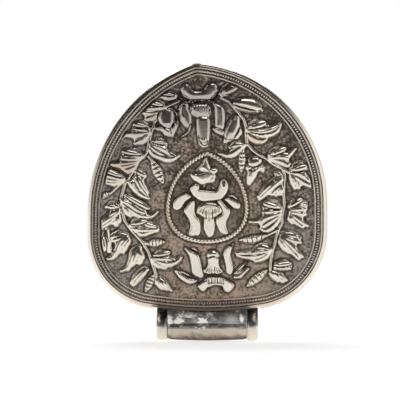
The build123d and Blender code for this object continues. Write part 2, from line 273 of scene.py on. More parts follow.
def lay_table():
    mesh = bpy.data.meshes.new("table")
    size = table_half_size * MM
    corners = [(-size, -size, 0), (size, -size, 0), (size, size, 0), (-size, size, 0)]
    mesh.from_pydata(corners, [], [(0, 1, 2, 3)])
    table = bpy.data.objects.new("table", mesh)
    table.location.z = table_level
    bpy.context.scene.collection.objects.link(table)
    material = bpy.data.materials.new("table_paper")
    material.use_nodes = True
    sheet = NodeSheet(material.node_tree)
    own_white = 0.0
    for ray in white_rays:
        own_white = sheet.node("ShaderNodeLightPath", None, None, ray) * table_own_white + own_white
    lit = sheet.node("ShaderNodeBsdfDiffuse", None, {"Color": table_paper})
    white = sheet.node("ShaderNodeEmission", None, {"Strength": own_white})
    both = sheet.node("ShaderNodeAddShader", None, {0: lit, 1: white})
    away = sheet.node("ShaderNodeVectorMath", {"operation": "LENGTH"}, {0: sheet.place()}, "Value")
    fade = sheet.step(away * (1 / MM), *table_fade)
    clear = sheet.node("ShaderNodeBsdfTransparent")
    faded = sheet.node("ShaderNodeMixShader", None, {0: fade, 1: both, 2: clear})
    sheet.node("ShaderNodeOutputMaterial", None, {"Surface": faded})
    mesh.materials.append(material)
    return table


def hang_lamp(name, place, size, power):
    light = bpy.data.lights.new(name, "AREA")
    light.shape = "RECTANGLE"
    light.size = size[0] * MM
    light.size_y = size[1] * MM
    light.energy = power
    lamp = bpy.data.objects.new(name, light)
    lamp.location = Vector(place) * MM
    lamp.rotation_euler = (lamp.location - lamp_aim).to_track_quat("Z", "Y").to_euler()
    bpy.context.scene.collection.objects.link(lamp)


lay_table()
for name, (place, size, power) in lamps.items():
    hang_lamp(name, place, size, power)
print("table at", round(table_level, 4), "lamps", len(lamps))

# %% [markdown]
# ## The leaf outline
# The box has the outline of a pipal leaf: a nearly flat bottom, two round corners, two long flanks
# and a small round tip, a little to the left. Wires, walls and strips all follow it at their own
# distance inside. A traced line of points would wobble when it is moved in, so the outline is drawn
# once from its arcs and walked along in even steps. The drop of rope is built in the same way.

# %% Outline
half_width = 32.3
left_widest_height = 30.0
right_widest_height = 33.0
left_corner_radius = 19.3
right_corner_radius = 21.0
bottom_radius = 100.0
bottom_height = 3.8
bottom_centre = bottom_height + bottom_radius
tip_radius = 6.0
tip_centre = (-2.4, 70.9 - tip_radius)
drop_half_width = 10.5
drop_bottom = 22.8
drop_top = 46.2
drop_corner_radius = 8.0
drop_bottom_radius = 16.0
drop_tip_radius = 0.8
arc_steps = 240


def corner(half_span, radius, base_radius, base_up):
    """The centre of the arc between a side and the bottom, and the turn at which it meets the bottom."""
    across = half_span - radius
    drop = math.sqrt((base_radius - radius) ** 2 - across ** 2)
    return across, base_up - drop, math.degrees(math.atan2(-drop, across))


def flank(widest_across, widest_up, tip, end_radius):
    """The centre and radius of the arc from the widest place to the tip, and the turn at which it ends."""
    side = 1 if widest_across > 0 else -1
    reach = side * (widest_across - tip[0])
    rise = tip[1] - widest_up
    radius = (reach ** 2 + rise ** 2 - end_radius ** 2) / (2 * (reach - end_radius))
    centre = (widest_across - side * radius, widest_up)
    return centre, radius, math.degrees(math.atan2(rise, tip[0] - centre[0]))


def box_arcs():
    """Each arc is a centre, a radius and the turns at which it starts and ends."""
    base = (bottom_radius, bottom_centre)
    right_across, right_up, right_turn = corner(half_width, right_corner_radius, *base)
    left_across, left_up, left_turn = corner(half_width, left_corner_radius, *base)
    right_middle, right_radius, right_end = flank(half_width, right_widest_height, tip_centre, tip_radius)
    left_middle, left_radius, left_end = flank(-half_width, left_widest_height, tip_centre, tip_radius)
    return [
        ((0, bottom_centre), bottom_radius, -180 - left_turn, right_turn),
        ((right_across, right_up), right_corner_radius, right_turn, 0),
        (right_middle, right_radius, 0, right_end),
        (tip_centre, tip_radius, right_end, left_end),
        (left_middle, left_radius, left_end, 180),
        ((-left_across, left_up), left_corner_radius, 180, 180 - left_turn),
    ]


def drop_arcs():
    base = drop_bottom + drop_bottom_radius
    across, up, turn = corner(drop_half_width, drop_corner_radius, drop_bottom_radius, base)
    tip = (0, drop_top - drop_tip_radius)
    centre, radius, lean = flank(drop_half_width, up, tip, drop_tip_radius)
    return [
        ((0, base), drop_bottom_radius, -180 - turn, turn),
        ((across, up), drop_corner_radius, turn, 0),
        (centre, radius, 0, lean),
        (tip, drop_tip_radius, lean, 180 - lean),
        ((-centre[0], up), radius, 180 - lean, 180),
        ((-across, up), drop_corner_radius, 180, 180 - turn),
    ]


def walk(arcs, inset, spacing):
    """Even steps along arcs drawn in by inset: places, outward directions, way covered and length."""
    runs = []
    for (across, up), radius, first, last in arcs:
        turn = np.radians(np.linspace(first, last, arc_steps))
        reach = radius - inset
        runs.append(np.stack([across + reach * np.cos(turn), up + reach * np.sin(turn)], 1))
    line = np.concatenate(runs + [runs[0][:1]])
    covered = np.r_[0, np.cumsum(np.hypot(*np.diff(line, axis=0).T))]
    length = covered[-1]
    count = round(length / spacing)
    marks = np.arange(count) * length / count
    place = np.stack([np.interp(marks, covered, line[:, axis]) for axis in (0, 1)], 1)
    ahead = np.roll(place, -1, 0) - np.roll(place, 1, 0)
    outward = np.stack([ahead[:, 1], -ahead[:, 0]], 1) / np.hypot(*ahead.T)[:, None]
    return place, outward, marks, length


for name, arcs in (("box", box_arcs()), ("drop", drop_arcs())):
    print(name, round(walk(arcs, 0, 0.5)[3]), "mm round")

# %% [markdown]
# ## From rows of points to pieces
# Every bent wire, wall and tube here is a grid: one closed section for each step along a line. Blender
# could sweep a curve, but rows of points let each step differ from the next. A piece is made from such
# rows, gets its faces turned outwards, rides on its body and stands in for its solid. Sharp edges
# stay sharp above an angle, and all the rest is shaded smooth.

# %% Pieces
sharp_angle = math.radians(50)
slowest_wave = 2
wave_shift = 6.3


def grid_faces(rows, columns, rows_close=True):
    """Four-sided faces over rows of points whose columns close."""
    row = np.arange(rows if rows_close else rows - 1)[:, None]
    column = np.arange(columns)[None, :]
    here = row * columns
    after = (row + 1) % rows * columns
    beside = (column + 1) % columns
    faces = np.stack([here + column, after + column, after + beside, here + beside], -1)
    return faces.reshape(-1, 4).tolist()


def capped_faces(rows, columns):
    """The same for rows that have two ends, each closed by one face."""
    first = list(range(columns))
    last = [(rows - 1) * columns + column for column in first]
    return grid_faces(rows, columns, False) + [first, last[::-1]]


def make_piece(name, points, faces, body, node, slot, finish=None):
    """A piece for a node of the frame, with its slot's finish unless another is named."""
    mesh = bpy.data.meshes.new(name)
    mesh.from_pydata((np.reshape(points, (-1, 3)) * MM).tolist(), [], faces)
    shell = bmesh.new()
    shell.from_mesh(mesh)
    bmesh.ops.recalc_face_normals(shell, faces=shell.faces)
    shell.to_mesh(mesh)
    shell.free()
    mesh.shade_smooth()
    mesh.set_sharp_from_angle(angle=sharp_angle)
    mesh.materials.append(finishes[finish or slot])
    piece = bpy.data.objects.new(name, mesh)
    bpy.context.scene.collection.objects.link(piece)
    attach(piece, body)
    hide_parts(node)
    print(name, len(mesh.vertices), "points")
    return piece


def make_ring(name, rows, body, node, slot):
    """A piece from rows of points that close both ways."""
    return make_piece(name, rows, grid_faces(*rows.shape[:2]), body, node, slot)


def swept(place, outward, forward, offset):
    """Rows of points for a section (forward, outward) that follows a line."""
    offset = np.broadcast_to(offset, (len(place), np.shape(offset)[-1]))
    forward = np.broadcast_to(forward, offset.shape)
    across = place[:, :1] + outward[:, :1] * offset
    up = place[:, 1:] + outward[:, 1:] * offset
    return np.stack([across, -forward, up], -1)


def slow_waves(marks, length, count):
    """A gentle closed wobble of size 1 along a line of that length."""
    total = np.zeros(len(marks))
    for turns in range(slowest_wave, slowest_wave + count):
        size = rng.normal() / count ** 0.5
        shift = rng.uniform(0, wave_shift)
        total += size * np.sin(2 * np.pi * turns * marks / length + shift)
    return total


print("edges stay sharp above", round(math.degrees(sharp_angle)), "degrees")

# %% [markdown]
# ## Finishes of old silver
# Silver that has been handled for years is bright where fingers rub it and brown where they don't
# reach. A painted picture could show that, but a formula stays sharp close up. Each finish is one
# metal with stains over it. Their shares come from noise, from how deep a spot lies and from the
# solder at the tube and the tip. Painted shade darkens the upper left of the box as well.

# %% Shared parts of the finishes
silver_cream = rgb(0.86, 0.785, 0.675)
silver_grey = rgb(0.6, 0.6, 0.56)
silver_dark = rgb(0.3, 0.27, 0.26)
copper_blush = rgb(0.78, 0.58, 0.46)
# Soot, and also the colour of painted shade at the upper left and in the hollows.
soot_and_shade_brown = rgb(0.075, 0.053, 0.039)
dust_brown = rgb(0.72, 0.55, 0.42)
tube_solder_middle = -1.0
tube_solder_half_width = (16.0, 13.0)
tube_solder_top = (10.0, 7.8)
tip_solder_middle = -2.8
tip_solder_half_width = (3.6, 2.0)
tip_solder_foot = (63.5, 66.0)
# Painted shade at the upper left, above a height that falls towards the left.
shaded_heights = (50.0, 66.0)
shaded_slant = 0.6
level_scratch_size = 0.9
level_scratch_stretch = (0.04, 1.0, 1.6)
upright_scratch_size = 0.7
upright_scratch_stretch = (1.3, 1.0, 0.05)
# A ragged edge is the size of its patches and how far they shift the edge, in millimetres.
solder_ragged = (1.6, 3.0)
shade_ragged = (4.0, 8.0)
finishes = {}


def new_finish(name):
    """An empty sheet of nodes for a new material, which the table of finishes keeps."""
    finishes[name] = bpy.data.materials.new(name)
    finishes[name].use_nodes = True
    return NodeSheet(finishes[name].node_tree)


def close_finish(sheet, colour, roughness, metallic, normal):
    sockets = {"Base Color": colour, "Roughness": roughness, "Metallic": metallic, "Normal": normal}
    surface = sheet.node("ShaderNodeBsdfPrincipled", None, sockets)
    sheet.node("ShaderNodeOutputMaterial", None, {"Surface": surface})


def near_solder(sheet):
    """A share that is 1 round the soldered tube and at the seam in the tip, with ragged edges."""
    across = sheet.millimetres("X")
    up = sheet.millimetres("Z")
    patch_size, shift = solder_ragged
    ragged = sheet.noise(patch_size) * shift
    tube = sheet.step(abs(across - tube_solder_middle) + ragged, *tube_solder_half_width)
    tube = tube * sheet.step(up + ragged, *tube_solder_top)
    tip = sheet.step(abs(across - tip_solder_middle) + ragged, *tip_solder_half_width)
    tip = tip * sheet.step(up, *tip_solder_foot)
    return tube.maths("MAXIMUM", tube, tip)


def upper_left_shade(sheet):
    """A share that is 1 at the upper left, which the finishes darken with painted shade."""
    slanted = sheet.millimetres("Z") - shaded_slant * sheet.millimetres("X")
    patch_size, shift = shade_ragged
    return sheet.step(slanted + sheet.noise(patch_size) * shift, *shaded_heights)


def scratches(sheet):
    """Fine scratches in two directions, from -0.5 to 0.5."""
    level = sheet.noise(level_scratch_size, 2.0, sheet.stretched(*level_scratch_stretch))
    upright = sheet.noise(upright_scratch_size, 2.0, sheet.stretched(*upright_scratch_stretch))
    return (level + upright) * 0.5 - 0.5


print("solder stain up to", tube_solder_top[0], "mm, shade from", shaded_heights[0], "mm")

# %% [markdown]
# ## Chased silver
# On the front the leaves are rubbed bright, and dust and soot fill the ground between them. Colour
# could be chosen by height alone in the shader, but the maker's plate has more: a furrow round each
# leaf, a thin lip beside it and ribs with a copper tint. So the mesh carries a share for each, for the
# raised parts, the hollows, the lip and the blush, and the finish mixes metal, ground and soot by them.
# The hollows hold dirt and painted shade, and painted shade is added on slopes that face upwards and
# beside the rope. The lip is partly worn metal and partly a painted glint.

# %% Chased silver of the front plate
dust_grey = rgb(0.57, 0.5, 0.42)
lip_wear_and_glint_grey = rgb(0.55, 0.55, 0.54)
top_flower_middle = -1.5
top_flower_half_width = (11.0, 7.5)
top_flower_foot = (45.0, 54.0)
brown_half_width = (9.0, 22.0)
top_darkening_heights = (8.0, 62.0)
grey_clouds = (0.42, 0.75)
grey_share = 0.3
shade_share = 0.45
top_flower_share = 0.4
brown_shift = 16.0
top_darkening_shift = 12.0
top_darkening = 0.13
dust_more = 0.07
dust_patches = (0.38, 0.66)
lip_patches = (0.42, 0.58)
lip_more_left = 0.004
lip_share = 0.8
rubbed_from = (0.25, 0.6)
rubbed_ragged = 0.2
hollow_share = 0.85
bare_patches = (0.5, 0.6)
solder_share = 0.75
ground_roughness = 0.46
rubbed_smoother = 0.26
fine_roughness = 0.12
ground_metallic = 0.3
grit_size = 0.35
grit_depth = 0.2
plate_scratch = 0.04


def leaf_metal(sheet, cloud, across, up):
    """Cream silver, copper ribs, grey clouds, painted shade at the upper left and a darker top flower."""
    metal = sheet.blend(sheet.attribute("blush"), silver_cream, copper_blush)
    metal = sheet.blend(sheet.step(cloud, *grey_clouds) * grey_share, metal, silver_grey)
    # Painted shade at the upper left.
    metal = sheet.blend(upper_left_shade(sheet) * shade_share, metal, silver_dark)
    top_flower = sheet.step(abs(across - top_flower_middle), *top_flower_half_width)
    top_flower = sheet.step(up, *top_flower_foot) * top_flower
    return sheet.blend(top_flower * top_flower_share, metal, silver_dark)


def dusty_ground(sheet, cloud, patch, speck, across, up):
    """Dust over soot, darker towards the top, and a broken lip of wear and painted glint round the leaves.
    """
    sideways = sheet.step(abs(across) + (cloud - 0.5) * brown_shift, *brown_half_width)
    dust = sheet.blend(sideways, dust_brown, dust_grey)
    # Darker towards the top.
    darker_to_top = sheet.step(up + (cloud - 0.5) * top_darkening_shift, *top_darkening_heights) * top_darkening
    dusty = sheet.step(patch * 0.4 + speck * 0.6 + dust_more - darker_to_top, *dust_patches)
    ground = sheet.blend(dusty, soot_and_shade_brown, dust)
    # The lip is partly worn metal and partly a painted glint, with more of it on the left.
    broken_glint = sheet.step(patch * 0.5 + speck * 0.5 - across * lip_more_left, *lip_patches)
    return sheet.blend(sheet.attribute("lip") * broken_glint * lip_share, ground, lip_wear_and_glint_grey)


def chased_finish():
    sheet = new_finish("chased_silver")
    across = sheet.millimetres("X")
    up = sheet.millimetres("Z")
    fine = sheet.noise(0.6, 4.0)
    speck = sheet.noise(0.7, 3.0)
    patch = sheet.noise(2.2, 5.0)
    cloud = sheet.noise(7.0, 3.0)
    rubbed = sheet.step(sheet.attribute("raised") + (fine - 0.5) * rubbed_ragged, *rubbed_from)
    ground = dusty_ground(sheet, cloud, patch, speck, across, up)
    colour = sheet.blend(rubbed, ground, leaf_metal(sheet, cloud, across, up))
    # Dirt and painted shade in the hollows, painted shade on upward slopes and beside the rope, and darker
    # ground inside the drop.
    colour = sheet.blend(sheet.attribute("hollow") * hollow_share, colour, soot_and_shade_brown)
    bare = sheet.step(speck * 0.5 + fine * 0.5, *bare_patches)
    colour = sheet.blend(near_solder(sheet) * (1 - bare) * solder_share, colour, soot_and_shade_brown)
    roughness = ground_roughness - rubbed * rubbed_smoother + (fine - 0.5) * fine_roughness
    metallic = ground_metallic + rubbed * (1 - ground_metallic)
    grit = sheet.noise(grit_size, 2.0) * (1 - rubbed)
    normal = sheet.bump(grit + scratches(sheet) * plate_scratch, grit_depth)
    close_finish(sheet, colour, roughness, metallic, normal)


chased_finish()
print("chased silver", len(finishes["chased_silver"].node_tree.nodes), "nodes")

# %% [markdown]
# ## Plain and wire silver
# Walls, rim, back and sleeve are plain sheet: clouds of stain, fine scratches, a copper tint low down,
# soot near the solder and painted shade at the upper left. The wires have the same metal, but dirt
# stays below their crests, and soot and painted shade hardly mark them. Both could have a finish of
# their own, yet one function with a crest that can be left out keeps them alike, as pieces from the
# same workshop are.

# %% Plain, wire, back and inner silver
low_tint_heights = (15.0, 9.0)
low_tint_shift = 6.0
low_tint_share = 0.45
low_left_across = (-8.0, -20.0)
low_left_heights = (46.0, 36.0)
low_left_shift = 16.0
low_left_share = 0.4
stain_patches = (0.62, 0.86)
stain_roughness = 0.12
soot_roughness = 0.25
scratch_roughness = 0.12
scratch_bump = 0.35
sheet_bump = 0.05
sheet_shares = {"shade": 0.4, "soot": 0.9}
wire_shares = {"shade": 0.15, "soot": 0.3}


def wire_dirt(sheet, colour, crest, fine, soot):
    """Copper near the solder, dirt below the crest and a darker stretch at the lower left."""
    low_left = sheet.step(sheet.millimetres("X") + fine * low_left_shift, *low_left_across)
    low_left = low_left * sheet.step(sheet.millimetres("Z"), *low_left_heights)
    forward = -1 * sheet.millimetres("Y")
    colour = sheet.blend(soot * 0.5, colour, copper_blush)
    colour = sheet.blend(sheet.step(forward, *crest), soot_and_shade_brown, colour)
    return sheet.blend(low_left * low_left_share, colour, soot_and_shade_brown)


def plain_finish(name, bright, stain, stain_reach, roughness, grain, crest=None):
    """Worn silver. For a wire, crest is how far forward its dirt thins out and is gone."""
    sheet = new_finish(name)
    shares = wire_shares if crest else sheet_shares
    cloud = sheet.noise(9.0, 5.0)
    fine = sheet.noise(1.1, 4.0)
    soot = near_solder(sheet)
    stained = sheet.step(cloud * 0.7 + fine * 0.3, *[edge - stain_reach for edge in stain_patches])
    colour = sheet.blend(stained, bright, stain)
    # Painted shade at the upper left, weaker on the wires.
    colour = sheet.blend(upper_left_shade(sheet) * shares["shade"], colour, soot_and_shade_brown)
    tinted = sheet.step(sheet.millimetres("Z") + fine * low_tint_shift, *low_tint_heights)
    colour = sheet.blend(tinted * low_tint_share, colour, copper_blush)
    if crest:
        colour = wire_dirt(sheet, colour, crest, fine, soot)
    colour = sheet.blend(soot * shares["soot"], colour, soot_and_shade_brown)
    lines = scratches(sheet)
    roughness = roughness + stained * stain_roughness + soot * soot_roughness + lines * scratch_roughness
    normal = sheet.bump(fine * grain + lines * scratch_bump, sheet_bump)
    close_finish(sheet, colour, roughness, 1.0 - soot * 0.5, normal)


border_crest = (8.0, 8.2)
rope_crest = (7.8, 8.0)
plain_finish("plain_silver", silver_cream, silver_grey, stain_reach=0.04, roughness=0.24, grain=0.3)
plain_finish("wire_silver", silver_cream, dust_brown, 0.06, roughness=0.4, grain=0.3, crest=border_crest)
plain_finish("rope_silver", silver_cream, silver_grey, 0.0, roughness=0.24, grain=0.1, crest=rope_crest)
plain_finish("back_silver", silver_cream, silver_grey, stain_reach=0.16, roughness=0.3, grain=0.5)
plain_finish("inner_silver", silver_grey, dust_brown, stain_reach=0.24, roughness=0.4, grain=0.8)
print("finishes", sorted(finishes))

# %% [markdown]
# ## Tube silver
# The tube is duller than the box: a band where it stands on the table, painted pale above as the
# table's reflection and dark below as the shadow where they touch, a grey hammered apron with a painted
# sheen and bright spots that are partly rubbed and partly painted highlights, painted reflections of
# the table on the feet of the rings, and soot where it is soldered on. Noise alone would put the spots
# anywhere, so each is a small oval at the place where it was seen, and noise only breaks up its edge.

# %% Tube silver
tube_grey = rgb(0.12, 0.12, 0.125)
tube_mid = rgb(0.36, 0.36, 0.37)
# Painted shadow and painted reflection of the table, for the band low on the barrel.
band_contact_shade = rgb(0.16, 0.12, 0.085)
band_table_reflection = rgb(0.7, 0.61, 0.5)
# Rubbed metal and painted highlights on the tube.
tube_rub_and_highlight_white = rgb(0.97, 0.93, 0.86)
tube_soot_heights = (3.2, 5.2)
band_top = (-0.4, -0.9)
band_reflection_heights = (-3.7, -1.4)
barrel_ends = (10.64, 10.6)
sheen_middle = 6.6
sheen_half_width = (2.6, 0.4)
sheen_share = 0.6
low_sheen_heights = (2.6, 0.4)
low_sheen_shift = 1.5
low_sheen_share = 0.25
apron_patches = (0.4, 0.7)
tube_soot_shift = 2.4
tube_soot_share = 0.92
band_top_shift = 0.8
band_shift = 2.4
ring_foot_reflection_heights = (0.4, -0.5)
ring_foot_reflection_shift = 2.0
tube_grit = (0.52, 0.62)
tube_grit_heights = (1.4, 2.6)
tube_grit_shift = 3.0
tube_grit_share = 0.7
tube_roughness = 0.38
tube_bump = 0.1
spot_edge = (2.6, 1.5)
spot_ragged = 3.0
# A spot is its middle, across and up, and its half width and half height.
# The apron's spots are partly rubbed metal and partly painted highlights. The two low on the rings are
# painted reflections of the table, and the last two are painted highlights.
rubbed_and_lit_spots = [
    (-1.4, 0.9, 1.9, 2.1), (-7.4, 1.4, 1.5, 1.8), (-10.2, 1.7, 1.3, 1.8), (9.2, 2.2, 0.7, 1.5),
    (-5.2, 3.6, 3.4, 1.4), (-12.4, -2.3, 2.6, 2.9), (12.4, -2.3, 2.6, 3.0), (0.6, 3.8, 1.4, 1.0),
    (-13.0, 2.6, 0.45, 1.7), (12.6, 2.6, 0.45, 1.7),
]


def rubbed_and_lit_share(sheet, across, up):
    """A share that is 1 on bright spots: rubbed metal, painted highlights and painted table reflections."""
    grain = sheet.noise(0.75, 4.0)
    rubbed = 0.0
    for spot_across, spot_up, half_across, half_up in rubbed_and_lit_spots:
        aside = abs(across - spot_across) * (1 / half_across)
        above = abs(up - spot_up) * (1 / half_up)
        rubbed = sheet.step(aside * aside + above * above + grain * spot_ragged, *spot_edge) + rubbed
    return sheet.step(rubbed, 0.0, 1.0)


def tube_finish():
    sheet = new_finish("tube_silver")
    across = sheet.millimetres("X")
    up = sheet.millimetres("Z")
    fine = sheet.noise(0.8, 3.0)
    cloud = sheet.noise(2.4, 2.0)
    soot = sheet.step(up + fine * tube_soot_shift, *tube_soot_heights)
    rubbed = rubbed_and_lit_share(sheet, across, up)
    apron = sheet.blend(sheet.step(cloud, *apron_patches), tube_grey, tube_mid)
    sheen = sheet.step(abs(across - sheen_middle), *sheen_half_width) * sheen_share
    low_sheen = sheet.step(up + (cloud - 0.5) * low_sheen_shift, *low_sheen_heights) * low_sheen_share
    apron = sheet.blend(sheen + low_sheen, apron, silver_grey)
    # The band low on the barrel: painted reflection of the table above, painted shadow where it touches
    # below.
    below = sheet.step(up + (cloud - 0.5) * band_top_shift, *band_top)
    band_reflection = sheet.step(up + (cloud - 0.5) * band_shift + (fine - 0.5), *band_reflection_heights)
    on_barrel = sheet.step(abs(across), *barrel_ends)
    in_band = below * on_barrel
    colour = sheet.blend(in_band, apron, sheet.blend(band_reflection, band_contact_shade, band_table_reflection))
    # Bright spots: rubbed metal, painted highlights and painted reflections of the table.
    colour = sheet.blend(rubbed * (1 - in_band), colour, tube_rub_and_highlight_white)
    # Painted reflection of the table on the lower part of each ring.
    ring_foot_reflection = (1 - on_barrel) * sheet.step(up + (fine - 0.5) * ring_foot_reflection_shift, *ring_foot_reflection_heights)
    colour = sheet.blend(ring_foot_reflection, colour, silver_cream)
    grit = sheet.step(sheet.noise(0.8, 2.0), *tube_grit)
    grit = grit * sheet.step(up + (cloud - 0.5) * tube_grit_shift, *tube_grit_heights)
    colour = sheet.blend(soot * (1 - grit * tube_grit_share) * tube_soot_share, colour, soot_and_shade_brown)
    roughness = tube_roughness + below * 0.1 - rubbed * 0.1 + soot * 0.2
    close_finish(sheet, colour, roughness, 1.0 - soot * 0.5, sheet.bump(cloud * 2.0 + fine, tube_bump))


tube_finish()
print("tube silver", len(rubbed_and_lit_spots), "rubbed spots")

# %% [markdown]
# ## Paper
# The rolled strip and its band are hand-made paper: long fibres and darker handled patches. Fibres
# could be drawn one by one, but at this size noise that is stretched along the roll looks the same.

# %% Paper
straw_pale = rgb(0.78, 0.68, 0.5)
straw_brown = rgb(0.52, 0.4, 0.26)
band_red = rgb(0.5, 0.17, 0.12)
band_dark = rgb(0.3, 0.09, 0.07)
fibre_size = 0.5
fibre_stretch = (0.2, 1.0, 1.0)
fibre_bump = 0.08
handled_patches = (0.35, 0.7)
paper_roughness = 0.8


def paper_finish(name, pale, dark, size):
    """Paper whose handled patches are about size millimetres wide."""
    sheet = new_finish(name)
    fibres = sheet.noise(fibre_size, 4.0, sheet.stretched(*fibre_stretch))
    blotch = sheet.noise(size, 4.0)
    handled = sheet.step(fibres * 0.45 + blotch * 0.55, *handled_patches)
    colour = sheet.blend(handled, pale, dark)
    close_finish(sheet, colour, paper_roughness + fibres * 0.15, 0.0, sheet.bump(fibres, fibre_bump))


paper_finish("scroll_paper", straw_pale, straw_brown, size=4.0)
paper_finish("band_paper", band_red, band_dark, size=3.0)
print("finishes in all", len(finishes))

# %% [markdown]
# ## The chased plate
# The front is one sheet of silver, pushed out from behind over pitch and then sharpened from the
# front with punches. It could be modelled leaf by leaf, but a sheet that is pushed up and down is
# exactly a height map: a fine grid of points, each lifted by the highest leaf that covers it.

# %% A grid to push up
ground_depth = -7.8
front_sheet = 0.7
plate_inset = 1.35
field_inset = 3.95
grid_step = 0.19
outline_step = 0.1
grid_middle = np.array([0.0, 33.0])
grid_across = np.arange(-31.2, 31.2, grid_step)
grid_up = np.arange(4.6, 70.0, grid_step)
across, up = np.meshgrid(grid_across, grid_up)
from_middle = np.hypot(across - grid_middle[0], up - grid_middle[1])
height = np.zeros(across.shape)
blush = np.zeros(across.shape)


def reach_at(arcs, inset, x, z):
    """How far the outline lies from the grid's middle, in the direction of each point."""
    line = walk(arcs, inset, outline_step)[0]
    turn = np.arctan2(line[:, 1] - grid_middle[1], line[:, 0] - grid_middle[0])
    order = np.argsort(turn)
    far = np.hypot(*(line - grid_middle).T)[order]
    here = np.arctan2(z - grid_middle[1], x - grid_middle[0])
    return np.interp(here, turn[order], far, period=2 * np.pi)


def window_of(line, room):
    """The rows and columns of the grid that a line can reach."""
    low = line.min(0) - room
    high = line.max(0) + room
    columns = slice(*np.searchsorted(grid_across, [low[0], high[0]]))
    rows = slice(*np.searchsorted(grid_up, [low[1], high[1]]))
    return rows, columns


def blurred(field, size):
    """The field with each spot spread over about size millimetres."""
    across_waves = np.fft.rfftfreq(field.shape[1], grid_step)
    up_waves = np.fft.fftfreq(field.shape[0], grid_step)
    soften = np.exp(-2 * (np.pi * size) ** 2 * (up_waves[:, None] ** 2 + across_waves[None, :] ** 2))
    return np.fft.irfft2(np.fft.rfft2(field) * soften, field.shape)


def smooth_rise(value, low, high):
    """A smooth rise from 0 at low to 1 at high."""
    share = np.clip((value - low) / (high - low), 0, 1)
    return share * share * (3 - 2 * share)


print("grid", height.shape)

# %% Pushing up lobes and stems
round_share = np.linspace(0, 1, 21)
forms = {
    "leaf": ((0, 0.1, 0.3, 0.5, 0.75, 0.92, 1), (0.3, 0.55, 0.9, 1, 0.78, 0.36, 0)),
    "petal": ((0, 0.1, 0.3, 0.6, 0.85, 0.96, 1), (0.4, 0.62, 0.88, 1, 0.85, 0.5, 0)),
    "bulb": (round_share, np.sqrt(1 - (2 * round_share - 1) ** 2)),
}
lobe_share = (0, 0.25, 0.7, 1)
lobe_profile = (0.62, 1, 0.95, 0.7)
lobe_rib_depth = 0.5


def push_lobe(row, form, high, crown=2.2, edge=0.6, lean=0.3, ribs=0, floor=9.0):
    """Lifts the grid under one lobe, and first cuts down to floor what is there already."""
    start_x, start_z, tip_x, tip_z, width, bend = (*row, 0)[:6]
    along = np.array([tip_x - start_x, tip_z - start_z])
    length = np.hypot(*along)
    left = np.array([-along[1], along[0]]) / length
    ends = np.array([(start_x, start_z), (tip_x, tip_z)])
    window = window_of(ends, width / 2 + abs(bend) + grid_step)
    x = across[window] - start_x
    z = up[window] - start_z
    share = (x * along[0] + z * along[1]) / length ** 2
    side = x * left[0] + z * left[1] - 4 * bend * share * (1 - share)
    half = width / 2 * np.interp(share, *forms[form], left=0, right=0)
    aside = np.clip(side / np.maximum(half, 1e-6), -1, 1)
    lift = high * (1 - np.abs(aside) ** crown) ** edge
    lift *= np.interp(share, lobe_share, lobe_profile)
    lift *= 1 + lean * (aside * left[1] + (share - 0.5) * along[1] / length)
    if ribs:
        lift *= 1 - lobe_rib_depth * (1 - np.abs(np.sin(np.pi * ribs * share))) ** 2
    lift[half <= 0] = 0
    under = np.where(np.abs(side) < half, np.minimum(height[window], floor), height[window])
    blush[window][lift > under] = 0
    height[window] = np.maximum(lift, under)


def push_stem(points, width, high):
    """Lifts a thin round stem along a line of points."""
    for (start_x, start_z), (end_x, end_z) in zip(points, points[1:]):
        run = np.array([end_x - start_x, end_z - start_z])
        share = ((across - start_x) * run[0] + (up - start_z) * run[1]) / (run @ run)
        share = np.clip(share, 0, 1)
        away = np.hypot(across - start_x - share * run[0], up - start_z - share * run[1])
        lift = high * np.sqrt(np.clip(1 - (2 * away / width) ** 2, 0, 1))
        np.maximum(height, lift, out=height)


print("forms", sorted(forms))

# %% [markdown]
# ## Two leafy branches
# A branch runs down each side of the plate. A leaf is a fan of broad, low ribs on a puffed body that
# is highest a little above its middle, often with a smooth dome along its upper side. A carved
# surface could be sculpted by hand, but rows can be read from the photograph and changed one by one.
# Each rib is one row, in millimetres. The body is not drawn: it is what the ribs cover, closed up.

# %% Ribs and bodies
rib_share = (0, 0.2, 0.6, 1)
rib_taper = (0.55, 0.95, 1, 0.3)
rib_broad = 1.3
rib_height = 0.24
leaf_margin = 0.6
margin_softness = 0.3
gap_blur = 0.5
gap_closing = (0.45, 0.7)
lower_rounding = 0.5
upper_rounding = 0.8
body_blur = 0.15
leaf_room = 1.6
leaf_height = 1.0
leaf_rim_height = 0.2
leaf_share = (0, 0.6, 1)
leaf_profile = (0.62, 1, 0.42)


def smooth_line(points, closed=False, spacing=0.1):
    """A smooth curve through the points, in short even steps."""
    points = np.array(points, float)
    before_first = points[-1:] if closed else 2 * points[:1] - points[1:2]
    after_last = points[:2] if closed else 2 * points[-1:] - points[-2:-1]
    padded = np.concatenate([before_first, points, after_last])
    runs = []
    for before, start, end, after in zip(padded, padded[1:], padded[2:], padded[3:]):
        steps = max(2, int(np.hypot(*(end - start)) / spacing))
        t = (np.arange(steps) / steps)[:, None]
        bend = (end - before) * t + (2 * before - 5 * start + 4 * end - after) * t ** 2
        bend += (3 * start - before - 3 * end + after) * t ** 3
        runs.append(start + bend / 2)
    return np.concatenate(runs + [points[:1] if closed else points[-1:]])


def nearest(line, window):
    """For each grid point of the window, how far the line is and which of its steps is closest."""
    x = across[window][..., None] - line[:, 0]
    z = up[window][..., None] - line[:, 1]
    away = np.hypot(x, z)
    closest = away.argmin(-1)
    return np.take_along_axis(away, closest[..., None], -1)[..., 0], closest


def runs_below(mask):
    """For each grid point, how many millimetres of the mask lie straight below it."""
    run = np.zeros(mask.shape)
    for row in range(1, len(mask)):
        run[row] = (run[row - 1] + grid_step) * mask[row]
    return run


